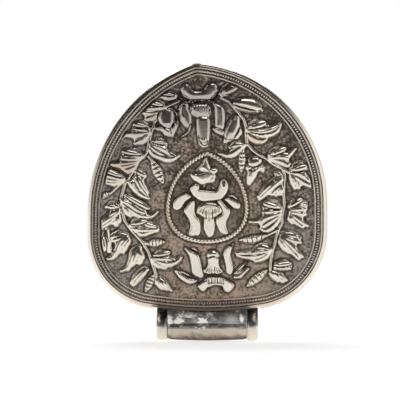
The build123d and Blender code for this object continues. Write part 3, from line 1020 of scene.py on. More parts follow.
def raise_leaf(ribs):
    """Lifts one leaf: ribs on a body that is highest above its middle and falls off both ways."""
    lines = [smooth_line(points) for _, points, *_ in ribs]
    window = window_of(np.concatenate(lines), leaf_room)
    covered = np.zeros(across[window].shape)
    ridges = np.zeros(across[window].shape)
    for (width, _, *tint), line in zip(ribs, lines):
        away, closest = nearest(line, window)
        taper = np.interp(closest / (len(line) - 1), rib_share, rib_taper)
        half = width / 2 * rib_broad * taper
        ridge = taper * np.sqrt(np.clip(1 - (away / half) ** 2, 0, 1))
        np.maximum(ridges, ridge, out=ridges)
        np.maximum(covered, smooth_rise(half + leaf_margin - away, 0, margin_softness), out=covered)
        blush[window][ridge > 0] = tint[0] if tint else 0
    body = np.maximum(covered, smooth_rise(blurred(covered, gap_blur), *gap_closing))
    below = runs_below(body > 0.5)
    above = runs_below(body[::-1] > 0.5)[::-1]
    leaning = np.interp(below / np.maximum(below + above, grid_step), leaf_share, leaf_profile)
    puffed = smooth_rise(below, 0, lower_rounding) * smooth_rise(above, 0, upper_rounding) * leaning
    puffed = leaf_rim_height + (leaf_height - leaf_rim_height) * blurred(puffed, body_blur)
    np.maximum(height[window], body * puffed + rib_height * ridges, out=height[window])


print("rib taper", rib_taper)

# %% Left branch
# A leaf is a list of ribs. A rib is its width, the points that it runs through and, where the silver
# has a copper tint, how strong that is.
left_leaves = [
    [(1.2, [(-8.4, 61.9), (-10, 62.3), (-12.2, 62.6)]),
     (0.9, [(-8.6, 61.2), (-10.5, 61.1), (-12.8, 61.6)])],
    [(1.3, [(-11.4, 58.6), (-13, 59.6), (-15, 60.2)]), (1.1, [(-11.5, 58.3), (-14, 58.4), (-17.6, 58.3)]),
     (0.9, [(-11.4, 57.9), (-14, 57), (-16.4, 57.1), (-18, 57.6)]),
     (1.3, [(-13, 57), (-14.6, 55.9), (-16.2, 55.4)], 0.75)],
    [(1.3, [(-11.4, 53.2), (-10.5, 51.8), (-9.4, 51.1)]), (0.9, [(-8.8, 54.7), (-8.8, 53), (-9.2, 51.3)]),
     (0.9, [(-12.2, 52.8), (-13.8, 53.1)], 0.75)],
    [(1.4, [(-15.8, 52.9), (-17.4, 54), (-19.3, 54.2)]),
     (0.8, [(-15.8, 52.3), (-18, 52.7), (-19.7, 52.9)]),
     (1.3, [(-15.6, 51.8), (-18.5, 51.4), (-21.5, 51.3), (-23.4, 50.8)]),
     (1.4, [(-15.8, 51.4), (-17.2, 49.9), (-19.1, 49)])],
    [(1.3, [(-17.2, 45.4), (-19.6, 46.7), (-22.3, 46.6)]),
     (0.8, [(-17.6, 45.2), (-20, 45.6), (-22.6, 45.6)]),
     (0.8, [(-18, 44.9), (-20.6, 44.7), (-22.8, 45)]),
     (0.9, [(-18.6, 44.1), (-22, 43.6), (-25.3, 43.5), (-27, 43.8)], 0.75),
     (0.8, [(-18.9, 43.6), (-22, 42.8), (-25, 43)], 0.75),
     (1.2, [(-19.2, 43), (-20.8, 41.9), (-22.6, 42.2)], 0.75)],
    [(1.1, [(-14.9, 49.3), (-12.6, 49.5), (-10.9, 48.9)]),
     (1.0, [(-14.9, 48.8), (-12.3, 47.7), (-10.2, 46.6), (-9, 46.3)]),
     (0.8, [(-14.9, 48), (-13, 46.6), (-10.5, 45.4)]),
     (1.0, [(-15.2, 47.3), (-14.2, 46.1), (-12.4, 45.3), (-10.3, 44.7), (-8.8, 44.9), (-7.5, 45.8)])],
    [(1.1, [(-22.4, 39.6), (-24.2, 40.5), (-26.2, 41.3), (-27.6, 42.2)]),
     (0.9, [(-22.5, 39.3), (-25, 39.9), (-27.4, 40.6)]), (0.8, [(-22.5, 39), (-25, 39), (-27.2, 39.5)]),
     (0.9, [(-22.6, 38.7), (-24.6, 38.3), (-26.6, 38.4)])],
    [(1.1, [(-18.7, 41.6), (-17.6, 41.2), (-16.5, 40.2)]),
     (0.9, [(-20.7, 38.8), (-19.2, 36.8), (-17.4, 35.2), (-15.5, 34.3)]),
     (0.8, [(-20, 39.2), (-18.7, 36.9), (-17, 35.2)]), (0.8, [(-19.2, 39.9), (-17.9, 37.4), (-16.1, 35)]),
     (0.9, [(-18.2, 40), (-17.2, 38), (-15.8, 36)])],
    [(1.2, [(-22.6, 34.2), (-21, 34.6), (-19.2, 33.4), (-17.4, 31.8), (-16.6, 30.8)]),
     (0.9, [(-22.6, 33.8), (-20.8, 32.8), (-18.5, 31.1), (-16.4, 30.3)]),
     (0.9, [(-22.2, 32.6), (-20, 31), (-18, 29.8), (-16.4, 29.4), (-14.6, 29.7), (-13.3, 30.8)]),
     (1.1, [(-22, 31.9), (-20.3, 29.6)])],
    [(1.4, [(-23.6, 31.6), (-25, 32.6), (-26.8, 32.1)]), (0.8, [(-23.6, 31), (-26, 29.7), (-28.9, 27.7)]),
     (0.8, [(-23.6, 30.6), (-26, 28.8), (-28.9, 26.9)]), (0.8, [(-24, 30), (-26, 27.9), (-28.5, 26.4)]),
     (1.2, [(-23.6, 29.4), (-24.2, 27.1)])],
    [(1.4, [(-20.2, 27.2), (-18.6, 28), (-16.8, 28)]), (0.9, [(-17, 28), (-15.2, 27.3), (-13.3, 26.9)]),
     (0.8, [(-19.8, 26.2), (-17, 25.8), (-13.1, 26)]),
     (0.8, [(-19, 25.6), (-17.2, 24.8), (-15.5, 25.2), (-13.2, 25.6)])],
    [(1.1, [(-21.5, 24.6), (-23.6, 24.6), (-25.6, 24)]),
     (0.7, [(-21.6, 24.3), (-23.6, 23.6), (-25.2, 23)]),
     (1.0, [(-21.2, 24), (-23, 22.6), (-24.2, 20), (-25.2, 18.6), (-27, 18.2)]),
     (0.8, [(-21, 23.6), (-22.4, 22), (-23.4, 20)]), (0.9, [(-20.8, 23), (-21.7, 21.6), (-22.3, 20)])],
    [(1.5, [(-27, 26), (-26.8, 23), (-26, 20.2)])],
    [(1.0, [(-18, 21.4), (-19.6, 20.2), (-20.1, 18), (-21, 16), (-22.8, 15)]),
     (0.9, [(-18, 20.8), (-18.8, 19), (-19.6, 17.2), (-21, 15.4)]),
     (1.4, [(-17.7, 19.9), (-17.8, 17.1)])],
    [(0.9, [(-16.3, 15.9), (-18.6, 14), (-20.2, 11.8)]),
     (0.9, [(-16, 15.3), (-18, 13.2), (-19.6, 11.2)])],
    [(1.2, [(-14.2, 18.6), (-12.6, 19.5), (-10.6, 19.7)]),
     (0.8, [(-13.9, 18.3), (-11, 18.2), (-8.6, 18.2)]),
     (1.0, [(-14.3, 18), (-11.7, 17), (-9.2, 16.9), (-7.6, 17.8), (-7, 18.7)]),
     (1.0, [(-14.2, 17.4), (-12.6, 16.4), (-11.2, 15.8)])],
    [(0.8, [(-12.6, 13.1), (-11.4, 12), (-10, 10.2)]), (0.8, [(-12.9, 12.4), (-11.7, 11.2), (-9.6, 9.9)]),
     (0.8, [(-13, 11.8), (-12.2, 10.8), (-10.8, 10.1)])],
]

for ribs in left_leaves:
    raise_leaf(ribs)
print("left leaves", len(left_leaves), "ribs", sum(map(len, left_leaves)))

# %% Right branch
right_leaves = [
    [(2.0, [(4, 62.3), (5.8, 63.6), (7.6, 64.4)])],
    [(0.9, [(7.6, 59), (9.4, 58.4), (11.4, 58), (14.6, 57.8)], 0.75)],
    [(1.5, [(6.6, 52), (5.8, 50.6), (4.9, 49.4)]), (1.3, [(8.4, 53), (8.2, 51.8), (7.9, 50.5)])],
    [(2.2, [(11.4, 52.8), (13, 53.8), (14.8, 54.3)]),
     (1.4, [(11.6, 52.2), (14.4, 52.6), (17, 52.8), (19.4, 54.2)]),
     (0.8, [(11.6, 51.6), (14.5, 51.2), (17.2, 51.4), (18.8, 52.4), (19.5, 53.8)]),
     (1.2, [(11.1, 51.2), (12.8, 50), (14.6, 49.6), (15.6, 50)], 0.75)],
    [(1.3, [(16.8, 45.8), (18, 47), (19, 47.7)]),
     (1.1, [(17, 45.4), (20, 46), (21.8, 46.1), (23.4, 47.6)]),
     (0.8, [(16.8, 45), (19.4, 45.2), (21.6, 45)]),
     (1.0, [(16.9, 44.6), (18.6, 44.3), (20.2, 43.7), (21.4, 43.1), (21.9, 43.6)])],
    [(1.1, [(9.7, 48.6), (8, 48.8), (6.2, 48)]),
     (1.0, [(9.6, 48.2), (8.2, 47), (6.6, 46), (5, 45.8), (3.4, 46.3)])],
    [(1.8, [(22.8, 41.9), (24.6, 42.9), (26.6, 42.6)]), (1.2, [(22.6, 41.2), (25, 40.6), (27.8, 38.8)]),
     (0.9, [(22.8, 40.6), (25.6, 38.6), (28.1, 37.3)]), (0.7, [(22.4, 40.4), (22.9, 38.6), (23.4, 37)]),
     (0.8, [(22.7, 40.4), (23.6, 38.6), (24.4, 37.1)])],
    [(1.5, [(12.8, 42.4), (12, 40.6), (11.2, 38.3)]), (1.1, [(14.4, 43), (14.9, 41.6)]),
     (1.0, [(11.4, 43), (10.8, 42.2)])],
    [(1.1, [(19.6, 40.7), (18.4, 41.1)]), (1.1, [(19.6, 40), (16.8, 38), (13.7, 34.8)]),
     (1.0, [(19.8, 39.4), (17.2, 37), (14, 34.1)]), (0.7, [(19.8, 37.6), (18.2, 36.2), (17.3, 35.3)]),
     (0.7, [(20, 37.4), (19, 36), (18.4, 35.1)]), (0.7, [(20, 37), (19.6, 35.4)])],
    [(1.0, [(22.2, 32.2), (23.4, 33.4), (25, 34)]), (0.75, [(22.6, 31.6), (24.6, 33), (26.3, 33.3)]),
     (0.75, [(22.6, 31.3), (24.6, 32.2), (26.4, 32.4)]), (0.75, [(22.5, 31), (24.6, 31.4), (26.3, 31.4)]),
     (0.75, [(22.4, 30.6), (24.4, 30.3), (26.2, 30)]), (0.8, [(22.3, 30.2), (24.4, 28.6), (26.8, 27)]),
     (0.8, [(22.2, 29.8), (23.8, 28), (25.4, 26.7)]), (0.8, [(22, 29.4), (22.6, 27.8)])],
    [(1.8, [(19.2, 31.8), (17.4, 32.6), (15.4, 32)]), (0.8, [(19.4, 31), (17, 30.9), (15, 30.6)]),
     (1.0, [(19.4, 30.2), (16.6, 29.3), (13.6, 28.2), (11.4, 28.1)]),
     (0.9, [(19.2, 29.6), (17, 28.2), (14.8, 26.8)]),
     (0.9, [(19.2, 29), (17.6, 27), (15.8, 25.8), (14.4, 26.2)])],
    [(1.1, [(20, 24.9), (22.4, 24.7), (24.7, 24)]), (0.8, [(19.9, 24.4), (22.4, 23.4), (24.8, 22.6)]),
     (0.9, [(19.8, 24), (22.6, 21.4), (25.4, 18.8)]), (0.9, [(19.7, 23.6), (22, 20.8), (24.4, 18.3)]),
     (1.0, [(19.5, 23), (20.8, 21), (21.6, 20)])],
    [(1.1, [(16.8, 20.8), (15, 21.5), (13, 21.2)]),
     (0.8, [(16.6, 20.3), (13, 20), (10, 19.9), (7.9, 19.9)]),
     (0.9, [(16.5, 19.9), (13.6, 18.9), (10.6, 18.7), (8.3, 19.1)]),
     (0.9, [(16.4, 19.5), (14.6, 18.3), (12.8, 17.7)])],
    [(1.3, [(18.4, 16), (20, 17), (22, 16.9)]), (0.9, [(18.4, 15.7), (20, 15.9), (21.8, 15.7)])],
    [(0.8, [(17.4, 15), (19.4, 14), (21.2, 12.5)]), (0.8, [(17.2, 14.7), (18.8, 13.4), (20.2, 12.1)]),
     (0.8, [(17, 14.4), (18, 13.2), (18.8, 12.4)])],
]

for ribs in right_leaves:
    raise_leaf(ribs)
print("right leaves", len(right_leaves), "ribs", sum(map(len, right_leaves)))

# %% Stems, domes and pods
# A dome or a pod is a row of its start, its tip, its width and, where it is bent, how far.
stems = [
    [(-7.5, 60.2), (-10.5, 58.9), (-12.8, 56.6), (-14.3, 53.8), (-15.2, 50.5), (-16, 46.5), (-18.2, 44.2),
     (-20, 41), (-21.8, 38.3), (-22.8, 35), (-22.8, 31.3), (-21.9, 28.3), (-20.3, 26), (-17.4, 22.9),
     (-15.6, 20), (-14.6, 17), (-13.6, 14.2), (-13.5, 11.5)],
    [(3.7, 61), (5.9, 60), (7.8, 57.8), (9.8, 55.4), (10.4, 53.3), (10.4, 51.5), (10.6, 49), (12.1, 47.2),
     (13.8, 45.9), (15.6, 45), (17.7, 43.4), (20.1, 42.2), (20.7, 40.3), (20.5, 38.2), (20.4, 35.6),
     (20.6, 32.8), (20, 29.7), (20, 27.8), (19.1, 26.1), (18.4, 23.8), (17.9, 21.7), (17.4, 20.2),
     (17, 17.5), (16.8, 15.3)],
    [(20.1, 42.2), (21.9, 41.1)], [(-21.3, 39.5), (-23.5, 37.8), (-25.7, 35.7)],
    [(19.1, 26.1), (15.8, 24.4)], [(-15.6, 45.5), (-14.7, 44.5)], [(-17.4, 22.9), (-16.2, 22.3)],
    [(10.4, 48.6), (9.6, 47.5)],
]
leaf_edges = [
    [(-14.2, 52.8), (-13.8, 54.9), (-12.6, 56.1), (-11.2, 57.5), (-10.2, 58.3), (-9.2, 58.2),
     (-8.3, 57.3), (-7.8, 55.6), (-7.8, 53.5)],
    [(-23.5, 25.9), (-25.3, 25), (-26.2, 23.6), (-26, 22), (-25.3, 20.8)],
    [(18.2, 17.2), (19.6, 18), (21.4, 17.8), (22.5, 16.6), (22.2, 15.4)],
]
domes = [
    (-8.6, 61.9, -12.9, 62.7, 1.8), (-11.6, 59.1, -15.7, 60.3, 2.0), (-10.2, 53, -10.9, 58.2, 5.0, 0.3),
    (-15.9, 53.6, -19.8, 54.3, 2.0), (-17.4, 46.1, -22.8, 47.1, 2.2), (-14.9, 49.7, -10.6, 49, 1.6),
    (-22.6, 40.1, -27.6, 42.2, 2.0), (-22.2, 35.5, -15, 31.4, 2.0), (-23.6, 32, -27, 32.4, 2.0),
    (-20.3, 27.4, -16, 28.5, 1.9), (-27.6, 24.4, -27.2, 20, 1.8), (-14.4, 19.1, -9.6, 20.1, 2.0),
    (3.8, 62.2, 8.3, 64.7, 3.0), (7, 60, 14.8, 58.4, 3.6, 0.5),
    (7.9, 56.5, 5.2, 50, 4.0, 0.3), (10.8, 53, 15.8, 54.7, 2.8), (11.5, 52.3, 19.5, 54, 2.0, -0.8),
    (16.7, 45.9, 21.2, 47.9, 2.2), (14.6, 44.6, 10.8, 43.8, 3.4), (22.5, 41.8, 26.8, 43.1, 2.4),
    (21.5, 31.9, 25.4, 34.4, 2.0), (19.6, 31.8, 14.8, 33.3, 2.2), (17.7, 16.6, 22.5, 17.2, 2.0),
]
pods = [
    (-14.8, 44.6, -11.5, 38, 3.0), (-25.7, 35.7, -29.3, 34.5, 2.0), (-16.3, 22.2, -10.9, 22.8, 2.6),
    (-14, 14.2, -16.6, 9.1, 2.3), (9.6, 47.5, 9.1, 41, 2.3), (15.8, 24.4, 8.1, 23.2, 2.5, 0.4),
    (16.1, 15.3, 10.3, 10.7, 2.6),
]
stem = {"width": 1.0, "high": 0.8}
leaf_edge = {"width": 0.6, "high": 0.85}
dome = {"form": "petal", "high": 1.25, "crown": 2.4, "edge": 0.55, "lean": -0.2, "floor": 0.5}
pod = {"form": "leaf", "high": 1.05, "ribs": 6}

for points in stems:
    push_stem(points, **stem)
for points in leaf_edges:
    push_stem(points, **leaf_edge)
for row in domes:
    push_lobe(row, **dome)
for row in pods:
    push_lobe(row, **pod)
print("stems", len(stems + leaf_edges), "domes", len(domes), "pods", len(pods))

# %% [markdown]
# ## Three flowers
# A flower stands at the top, in the drop of rope and at the bottom. Their petals are cut cleaner than
# the leaves, so each is an outline drawn through a few points and raised. The flat ones have a narrow
# round edge and a top that falls off downwards, towards the white table that it mirrors. The round
# ones are broad domes. Lines, dents and beads are set on top of them, as with small punches. Separate
# solids would look laid on, while a grid keeps the whole sheet in one piece.

# %% Petals from outlines
petal_margin = 0.3
petal_spacing = 0.2
line_fullness = 0.5
dent_fullness = 1.5


def inside_line(line, window):
    """Which grid points of the window lie inside a closed line."""
    x = across[window][..., None]
    z = up[window][..., None]
    start, end = line[:-1], line[1:]
    crosses = (start[:, 1] > z) != (end[:, 1] > z)
    run = np.where(end[:, 1] == start[:, 1], 1.0, end[:, 1] - start[:, 1])
    where = start[:, 0] + (z - start[:, 1]) / run * (end[:, 0] - start[:, 0])
    return (np.sum(crosses & (x < where), -1) % 2).astype(bool)


def push_petal(points, high, edge, fall):
    """Raises a closed outline, rounded over along its edge, that falls off from its top downwards."""
    line = smooth_line(points, closed=True, spacing=petal_spacing)
    window = window_of(line, petal_margin + grid_step)
    away, _ = nearest(line, window)
    depth = np.where(inside_line(line, window), away, -away) + petal_margin
    rounded = np.sqrt(1 - (1 - np.clip(depth / edge, 0, 1)) ** 2)
    lift = rounded * (high - fall * (line[:, 1].max() - up[window]))
    np.maximum(height[window], lift, out=height[window])


def push_streak(width, points, high):
    """A narrow raised line on top of whatever is there already, or a soft dent if high is below zero."""
    line = smooth_line(points)
    window = window_of(line, width)
    away, closest = nearest(line, window)
    half = width / 2 * np.interp(closest / (len(line) - 1), rib_share, rib_taper)
    rounded = np.clip(1 - (away / half) ** 2, 0, 1)
    height[window] += high * rounded ** (line_fullness if high > 0 else dent_fullness)


print("petals reach", petal_margin, "mm over their outlines")

# %% Petals of the flowers
flat_petals = [
    [(-4.4, 34.6), (-4.9, 35.3), (-5.8, 35.6), (-7, 35.1), (-8.2, 34.2), (-8.9, 32.9), (-8.8, 31.7),
     (-8.2, 31.3), (-7.3, 31.6), (-6.6, 32.4), (-5.9, 33.5), (-5.2, 34)],
    [(4.8, 34), (5.6, 34.4), (6.6, 34), (7.9, 33.4), (8.7, 32.8), (8.6, 31.7), (7.4, 31.8), (6.3, 32.6),
     (5.5, 33.4)],
    [(-3.3, 33.3), (-3.4, 30.8), (-3.1, 29.6), (-2.2, 28.6), (-1.9, 27.2), (-2.2, 24.8), (-3.4, 24.6),
     (-4.7, 24.4), (-4.2, 27), (-4.6, 28.6), (-5.4, 29.9), (-6, 31), (-4.8, 32.9), (-4, 33.6)],
    [(2.9, 33.4), (3.6, 33.8), (5, 32.2), (6, 31.2), (5.9, 30), (5, 28.2), (4.9, 26.8), (5.4, 25),
     (4.2, 25.1), (3.3, 26.2), (2.5, 28.6), (4, 29.9), (4.3, 30.8), (3.9, 31.9)],
    [(-0.4, 30.5), (-0.6, 29), (-0.7, 26.6), (-0.3, 25.4), (0.5, 24.2), (1.5, 24.6), (1.9, 26.6),
     (1.7, 29), (1.7, 30), (0.7, 30.3)],
    [(-5.9, 21.1), (-4.6, 19), (-4, 16), (-3.9, 14.8), (-3.2, 13.9), (-1.6, 13.3), (-1.2, 13.8),
     (-1.6, 16.3), (-2.2, 18.8), (-3, 19.6), (-4.2, 20.2)],
    [(7, 22.4), (6.4, 21.4), (5.4, 21.4), (4.5, 19.6), (5, 17.2), (5.4, 14.8), (6, 14.2), (6.6, 14.6),
     (6.8, 15.8), (6.3, 18.2), (6.1, 19.4), (6.5, 21)],
    [(-8.5, 15.1), (-7.8, 13.9), (-6.8, 12.8), (-4.6, 11.7), (-2.6, 12.4), (-4.8, 12.9), (-6, 13.6)],
    [(7.1, 13.2), (8.8, 13.2), (9.8, 14), (11.2, 15.7), (9.2, 15.2), (8.2, 14.3)],
    [(0.4, 18.3), (0.4, 17), (0, 15.9), (-0.8, 14.9), (0.4, 14.3), (1.7, 14.4), (3, 14.3), (4, 14.9),
     (3.3, 15.9), (3, 17), (2.9, 18.3), (1.7, 18.9)],
    [(1.6, 52.9), (2.6, 53), (4.3, 52.2), (4.1, 51.2), (2.4, 51.9)],
    [(-4.4, 36.8), (-3.3, 38.1), (-2.2, 37.6), (-2.1, 36.5), (0, 36.3), (2.4, 36.1), (3.4, 37.6),
     (4.1, 39.3), (5.2, 38.7), (5.5, 36.8), (3.9, 34.4), (0.6, 33.7), (-1.2, 33.7), (-3.4, 35)],
    [(-2.2, 11.2), (-0.6, 12.3), (0.2, 12.2), (0.1, 10.8), (-1, 9.7), (-2, 10.4)],
    [(4.2, 12.8), (6.2, 12.1), (7.1, 11), (5.8, 9.5), (4.6, 10.1)],
    [(-0.4, 12.9), (2.2, 13.3), (4.6, 12.9), (4.4, 11.2), (2.2, 11.4), (0.2, 10.9)],
]
cap_petal = [
    (-2.6, 30.6), (-2.2, 32.2), (-1, 33), (0.5, 33.2), (2.4, 32.9), (3.6, 31.9), (3.9, 30.9), (3, 30),
    (1.9, 29.4), (0.5, 29), (-0.8, 29.4), (-1.8, 30),
]
round_petals = [
    [(-7, 63.2), (-6.3, 64.6), (-5, 64.8), (-3.9, 63.2), (-1.1, 63.2), (-0.2, 64.4), (0.8, 65.1),
     (2.2, 64.9), (2.9, 63.2), (2.2, 61.6), (0.8, 60.7), (-1.8, 60.5), (-4.2, 60.6), (-6.2, 61.7)],
    [(-4.7, 57.8), (-3.7, 59.4), (0, 59.5), (1.1, 57.8), (0.6, 56.2), (-1.5, 55.7), (-3.8, 56.5)],
    [(-2.7, 55.6), (0.6, 55.6), (0.6, 50), (0.4, 48.3), (-0.7, 47.8), (-1.9, 48.3), (-2.3, 50)],
    [(-5.2, 59.6), (-6.6, 59.4), (-7.4, 57.8), (-7, 55), (-5.4, 53.2), (-4.2, 53.6), (-4.2, 56.2),
     (-4.8, 58)],
    [(1.7, 59.7), (3.9, 59), (4.7, 57), (4.4, 52.9), (2.4, 53.1), (2.2, 55.5), (2, 58.3)],
    [(0.1, 18.8), (0.4, 20), (1.6, 20.5), (2.8, 20), (3.1, 18.8), (1.6, 18.5)],
    [(-0.3, 45.5), (0.3, 43.8), (0.9, 42.4), (2.2, 40.6), (1.8, 38.8), (0.2, 38.5), (-1.4, 38.1),
     (-2.7, 38.7), (-4.1, 40), (-4.2, 41), (-2.9, 42), (-1.5, 43.4)],
]
flat_petal = {"high": 1.2, "edge": 0.55, "fall": 0.1}
cap = {"high": 1.36, "edge": 0.9, "fall": 0.06}
round_petal = {"high": 1.25, "edge": 1.7, "fall": 0.04}

for points in flat_petals:
    push_petal(points, **flat_petal)
push_petal(cap_petal, **cap)
for points in round_petals:
    push_petal(points, **round_petal)
print("petals", len(flat_petals + round_petals) + 1)

# %% Lines, dents and beads of the flowers
# A row is a width, the points that the line runs through and its height, which is below zero in a dent.
streaks = [
    (2.4, [(-3.7, 41.1), (-1.8, 41.5), (0.1, 41.3)], -0.3), (1.0, [(1, 39.2), (1.4, 40.4)], -0.16),
    (0.7, [(-4.8, 64.4), (-4.2, 63.5), (-3.6, 62.6)], 0.25), (0.5, [(-0.6, 63.5), (0.1, 64.7)], 0.2),
    (0.6, [(-6.6, 62), (-5.6, 61.2), (-4.4, 60.7)], 0.3),
    (0.5, [(0.9, 60.8), (1.9, 61.4), (2.6, 62.6)], 0.25),
    (0.5, [(-8, 62.1), (-7.2, 61.1), (-6, 60.3), (-4.4, 59.9), (-1.8, 59.8), (1.1, 60), (2.4, 60.7),
           (3.1, 61.9), (3, 64)], 0.9),
    (0.45, [(-3.8, 59.2), (-4.5, 58), (-4, 56.8)], 0.2),
    (0.45, [(0.2, 59.2), (0.9, 57.8), (0.4, 56.4)], 0.25),
    (0.6, [(-2.6, 51.5), (-2.1, 49.4), (-1.4, 48.3), (-0.5, 48.1), (0.3, 48.6), (0.4, 49.7)], 0.2),
    (0.45, [(-1.8, 50.1), (-0.9, 49.7), (0, 50.2)], 0.2),
    (0.9, [(-4.3, 53.8), (-4.7, 52.6), (-5.6, 51.6), (-7.4, 50.4)], 0.8),
    (0.4, [(-5.9, 59.9), (-6.9, 59.2), (-7.6, 58.2), (-7.8, 55)], 0.6),
    (0.6, [(-6.8, 56.6), (-6, 55.4)], 0.2),
    (0.9, [(5.8, 35), (7, 34.9), (8.4, 33.7)], 0.7), (0.5, [(-0.4, 45.1), (0, 44), (0.5, 43)], 0.15),
    (0.6, [(0.8, 37.8), (1.6, 37.2), (2.3, 36.5)], 0.7), (0.6, [(-0.5, 38), (-1.2, 36.8)], 0.6),
    (0.35, [(-2, 30.4), (-1.5, 31.7)], -0.3), (0.35, [(-1.3, 30.1), (-0.8, 31.9)], -0.3),
    (0.35, [(-0.3, 29), (-0.1, 32)], -0.3), (0.35, [(0.6, 28.4), (0.6, 32)], -0.25),
    (0.35, [(1.5, 29), (1.4, 32)], -0.3), (0.35, [(2.6, 30.1), (2.1, 31.9)], -0.3),
    (0.35, [(3.3, 30.5), (2.8, 31.7)], -0.3),
    (0.8, [(-8.1, 15.2), (-6.4, 14.6), (-4.8, 13.8), (-3.6, 12.9)], 0.8),
    (0.8, [(-4, 21.1), (-3.2, 20.8), (-2.5, 20.2)], 0.7),
    (1.2, [(7.4, 14.3), (9, 16), (10.5, 17.3)], 0.9), (0.5, [(8, 13.3), (9.4, 14.2), (10.6, 15.4)], 0.15),
    (0.35, [(-0.4, 14.8), (0.5, 16)], -0.25), (0.35, [(0.4, 14.4), (0.9, 16.2)], -0.25),
    (0.35, [(1.3, 14.3), (1.4, 16.4)], -0.25), (0.35, [(2.1, 14.3), (2, 16.4)], -0.25),
    (0.35, [(2.9, 14.4), (2.5, 16.2)], -0.25), (0.35, [(3.7, 14.8), (2.9, 16)], -0.25),
]
bud_side = (0.7, 41.6, 3, 41.8, 2.3)
right_horn = (4.5, 36.4, 4.5, 39.7, 2.5)
collar_beads = 8
collar_start = -4.5
collar_pitch = 0.72
collar_level = 60.35
collar_bead_size = (0.33, 0.8)
foot_lines = 9
foot_start = 0.3
foot_pitch = 0.5
foot_heights = (13.1, 11.5)
foot_line_width = 0.35
foot_line_height = -0.25
knot_ribs = 6
knot_top = (-3.6, 0.75, 59)
knot_bottom = (-3.3, 0.66, 56.4)
knot_rib_width = 0.5
knot_rib_height = 0.15
relief_limit = 1.36

for width, points, high in streaks:
    push_streak(width, points, high)
push_lobe(bud_side, "bulb", high=1.35, lean=-0.1, floor=0.8)
push_lobe(right_horn, "bulb", high=1.3, lean=-0.2)
for number in range(collar_beads):
    middle = collar_start + collar_pitch * number
    half, width = collar_bead_size
    bead = (middle - half, collar_level, middle + half, collar_level, width)
    push_lobe(bead, "bulb", high=1.15, lean=0, floor=0.6)
for number in range(foot_lines):
    line_across = foot_start + foot_pitch * number
    ends = [(line_across, foot_height) for foot_height in foot_heights]
    push_streak(foot_line_width, ends, foot_line_height)
for number in range(knot_ribs):
    ends = [(start + pitch * number, level) for start, pitch, level in (knot_top, knot_bottom)]
    push_streak(knot_rib_width, ends, knot_rib_height)
np.minimum(height, relief_limit, out=height)
print("lines and dents", len(streaks) + foot_lines + knot_ribs, "highest", round(height.max(), 2), "mm")

# %% [markdown]
# ## Ground, hollows and the sheet itself
# The ground between the leaves is matted with a round punch, blow beside blow, and the whole sheet
# is a little uneven. Noise could roughen it too, but punch marks are round and overlap. Dirt and
# painted shade stay where the ground lies close to something tall: a blurred copy of the heights shows
# how deep each spot lies among its neighbours. Painted shade also falls on slopes that face upwards
# and beside the rope, and the ground inside the drop is darker. Each share is kept on the points,
# where the finish can read it.

# %% Hollows, lips and worn tops
field_fade = 0.4
raised_at = 0.4
standing_at = 0.3
rope_shadow = (1.3, 0.9)
drop_darkening = 0.6
upper_side_shade = 0.9
upper_side_slopes = (0.8, 1.5)
furrow_blur = 0.28
furrow_edge = (0.08, 0.4)
lip_blur = 0.5
lip_edge = (0.09, 0.2)
groove_blur = 0.3
groove_least = 0.015
groove_full = 0.12
whole_grid = (slice(None), slice(None))

field_edge = reach_at(box_arcs(), field_inset, across, up) - from_middle
height *= np.clip(field_edge / field_fade, 0, 1)
raised = np.clip(height / raised_at, 0, 1)
standing = np.clip(height / standing_at, 0, 1)
# Dirt and painted shade in the furrow round each leaf.
furrow = smooth_rise(blurred(standing, furrow_blur), *furrow_edge) * (1 - standing)
# A lip beside each leaf, partly worn metal and partly a painted glint.
lip = smooth_rise(blurred(standing, lip_blur), *lip_edge) * (1 - standing) * (1 - furrow)
# Dirt and painted shade in the grooves between ribs.
groove = np.clip((blurred(height, groove_blur) - height - groove_least) / groove_full, 0, 1)
# Painted shade on slopes that face upwards.
facing_up = smooth_rise(-np.gradient(height, grid_step, axis=0), *upper_side_slopes) * upper_side_shade
rope_line = walk(drop_arcs(), 0, 0.5)[0]
# Darker ground inside the drop.
in_drop = inside_line(rope_line, whole_grid) * (1 - standing) * drop_darkening
# Painted shadow beside the rope.
beside_rope = smooth_rise(nearest(rope_line, whole_grid)[0], *rope_shadow)
hollow = np.maximum.reduce([furrow, groove, facing_up, in_drop, beside_rope])
print("raised", round(raised.mean(), 2), "of the plate, hollow", round(hollow.mean(), 2))

# %% Matted ground
punch_count = 5200
punch_radius = 0.5
punch_depth = 0.16
lightest_punch = 0.4
furrow_depth = 0.14
uneven_size = 2.2
uneven_depth = 0.06
ground_fade = 0.6
open_below = 0.25


def mat_ground():
    """The depth of the deepest punch mark at each point."""
    dents = np.zeros(height.shape)
    reach = int(punch_radius / grid_step) + 1
    window = np.arange(-reach, reach + 1) * grid_step
    for _ in range(punch_count):
        row = rng.integers(reach, height.shape[0] - reach)
        column = rng.integers(reach, height.shape[1] - reach)
        deep = rng.uniform(lightest_punch, 1) * punch_depth
        shift = rng.uniform(-0.5, 0.5, 2) * grid_step
        away = np.hypot(window[:, None] + shift[0], window[None, :] + shift[1]) / punch_radius
        spot = (slice(row - reach, row + reach + 1), slice(column - reach, column + reach + 1))
        dents[spot] = np.maximum(dents[spot], deep * np.clip(1 - away ** 2, 0, 1))
    return dents


uneven = blurred(rng.normal(size=height.shape), uneven_size)
uneven *= uneven_depth / uneven.std()
open_ground = np.clip(1 - height / open_below, 0, 1) * np.clip(field_edge / ground_fade, 0, 1)
surface = height - furrow_depth * furrow + (uneven - mat_ground()) * open_ground
print("dents", punch_count, "lowest", round(surface.min(), 2), "mm")

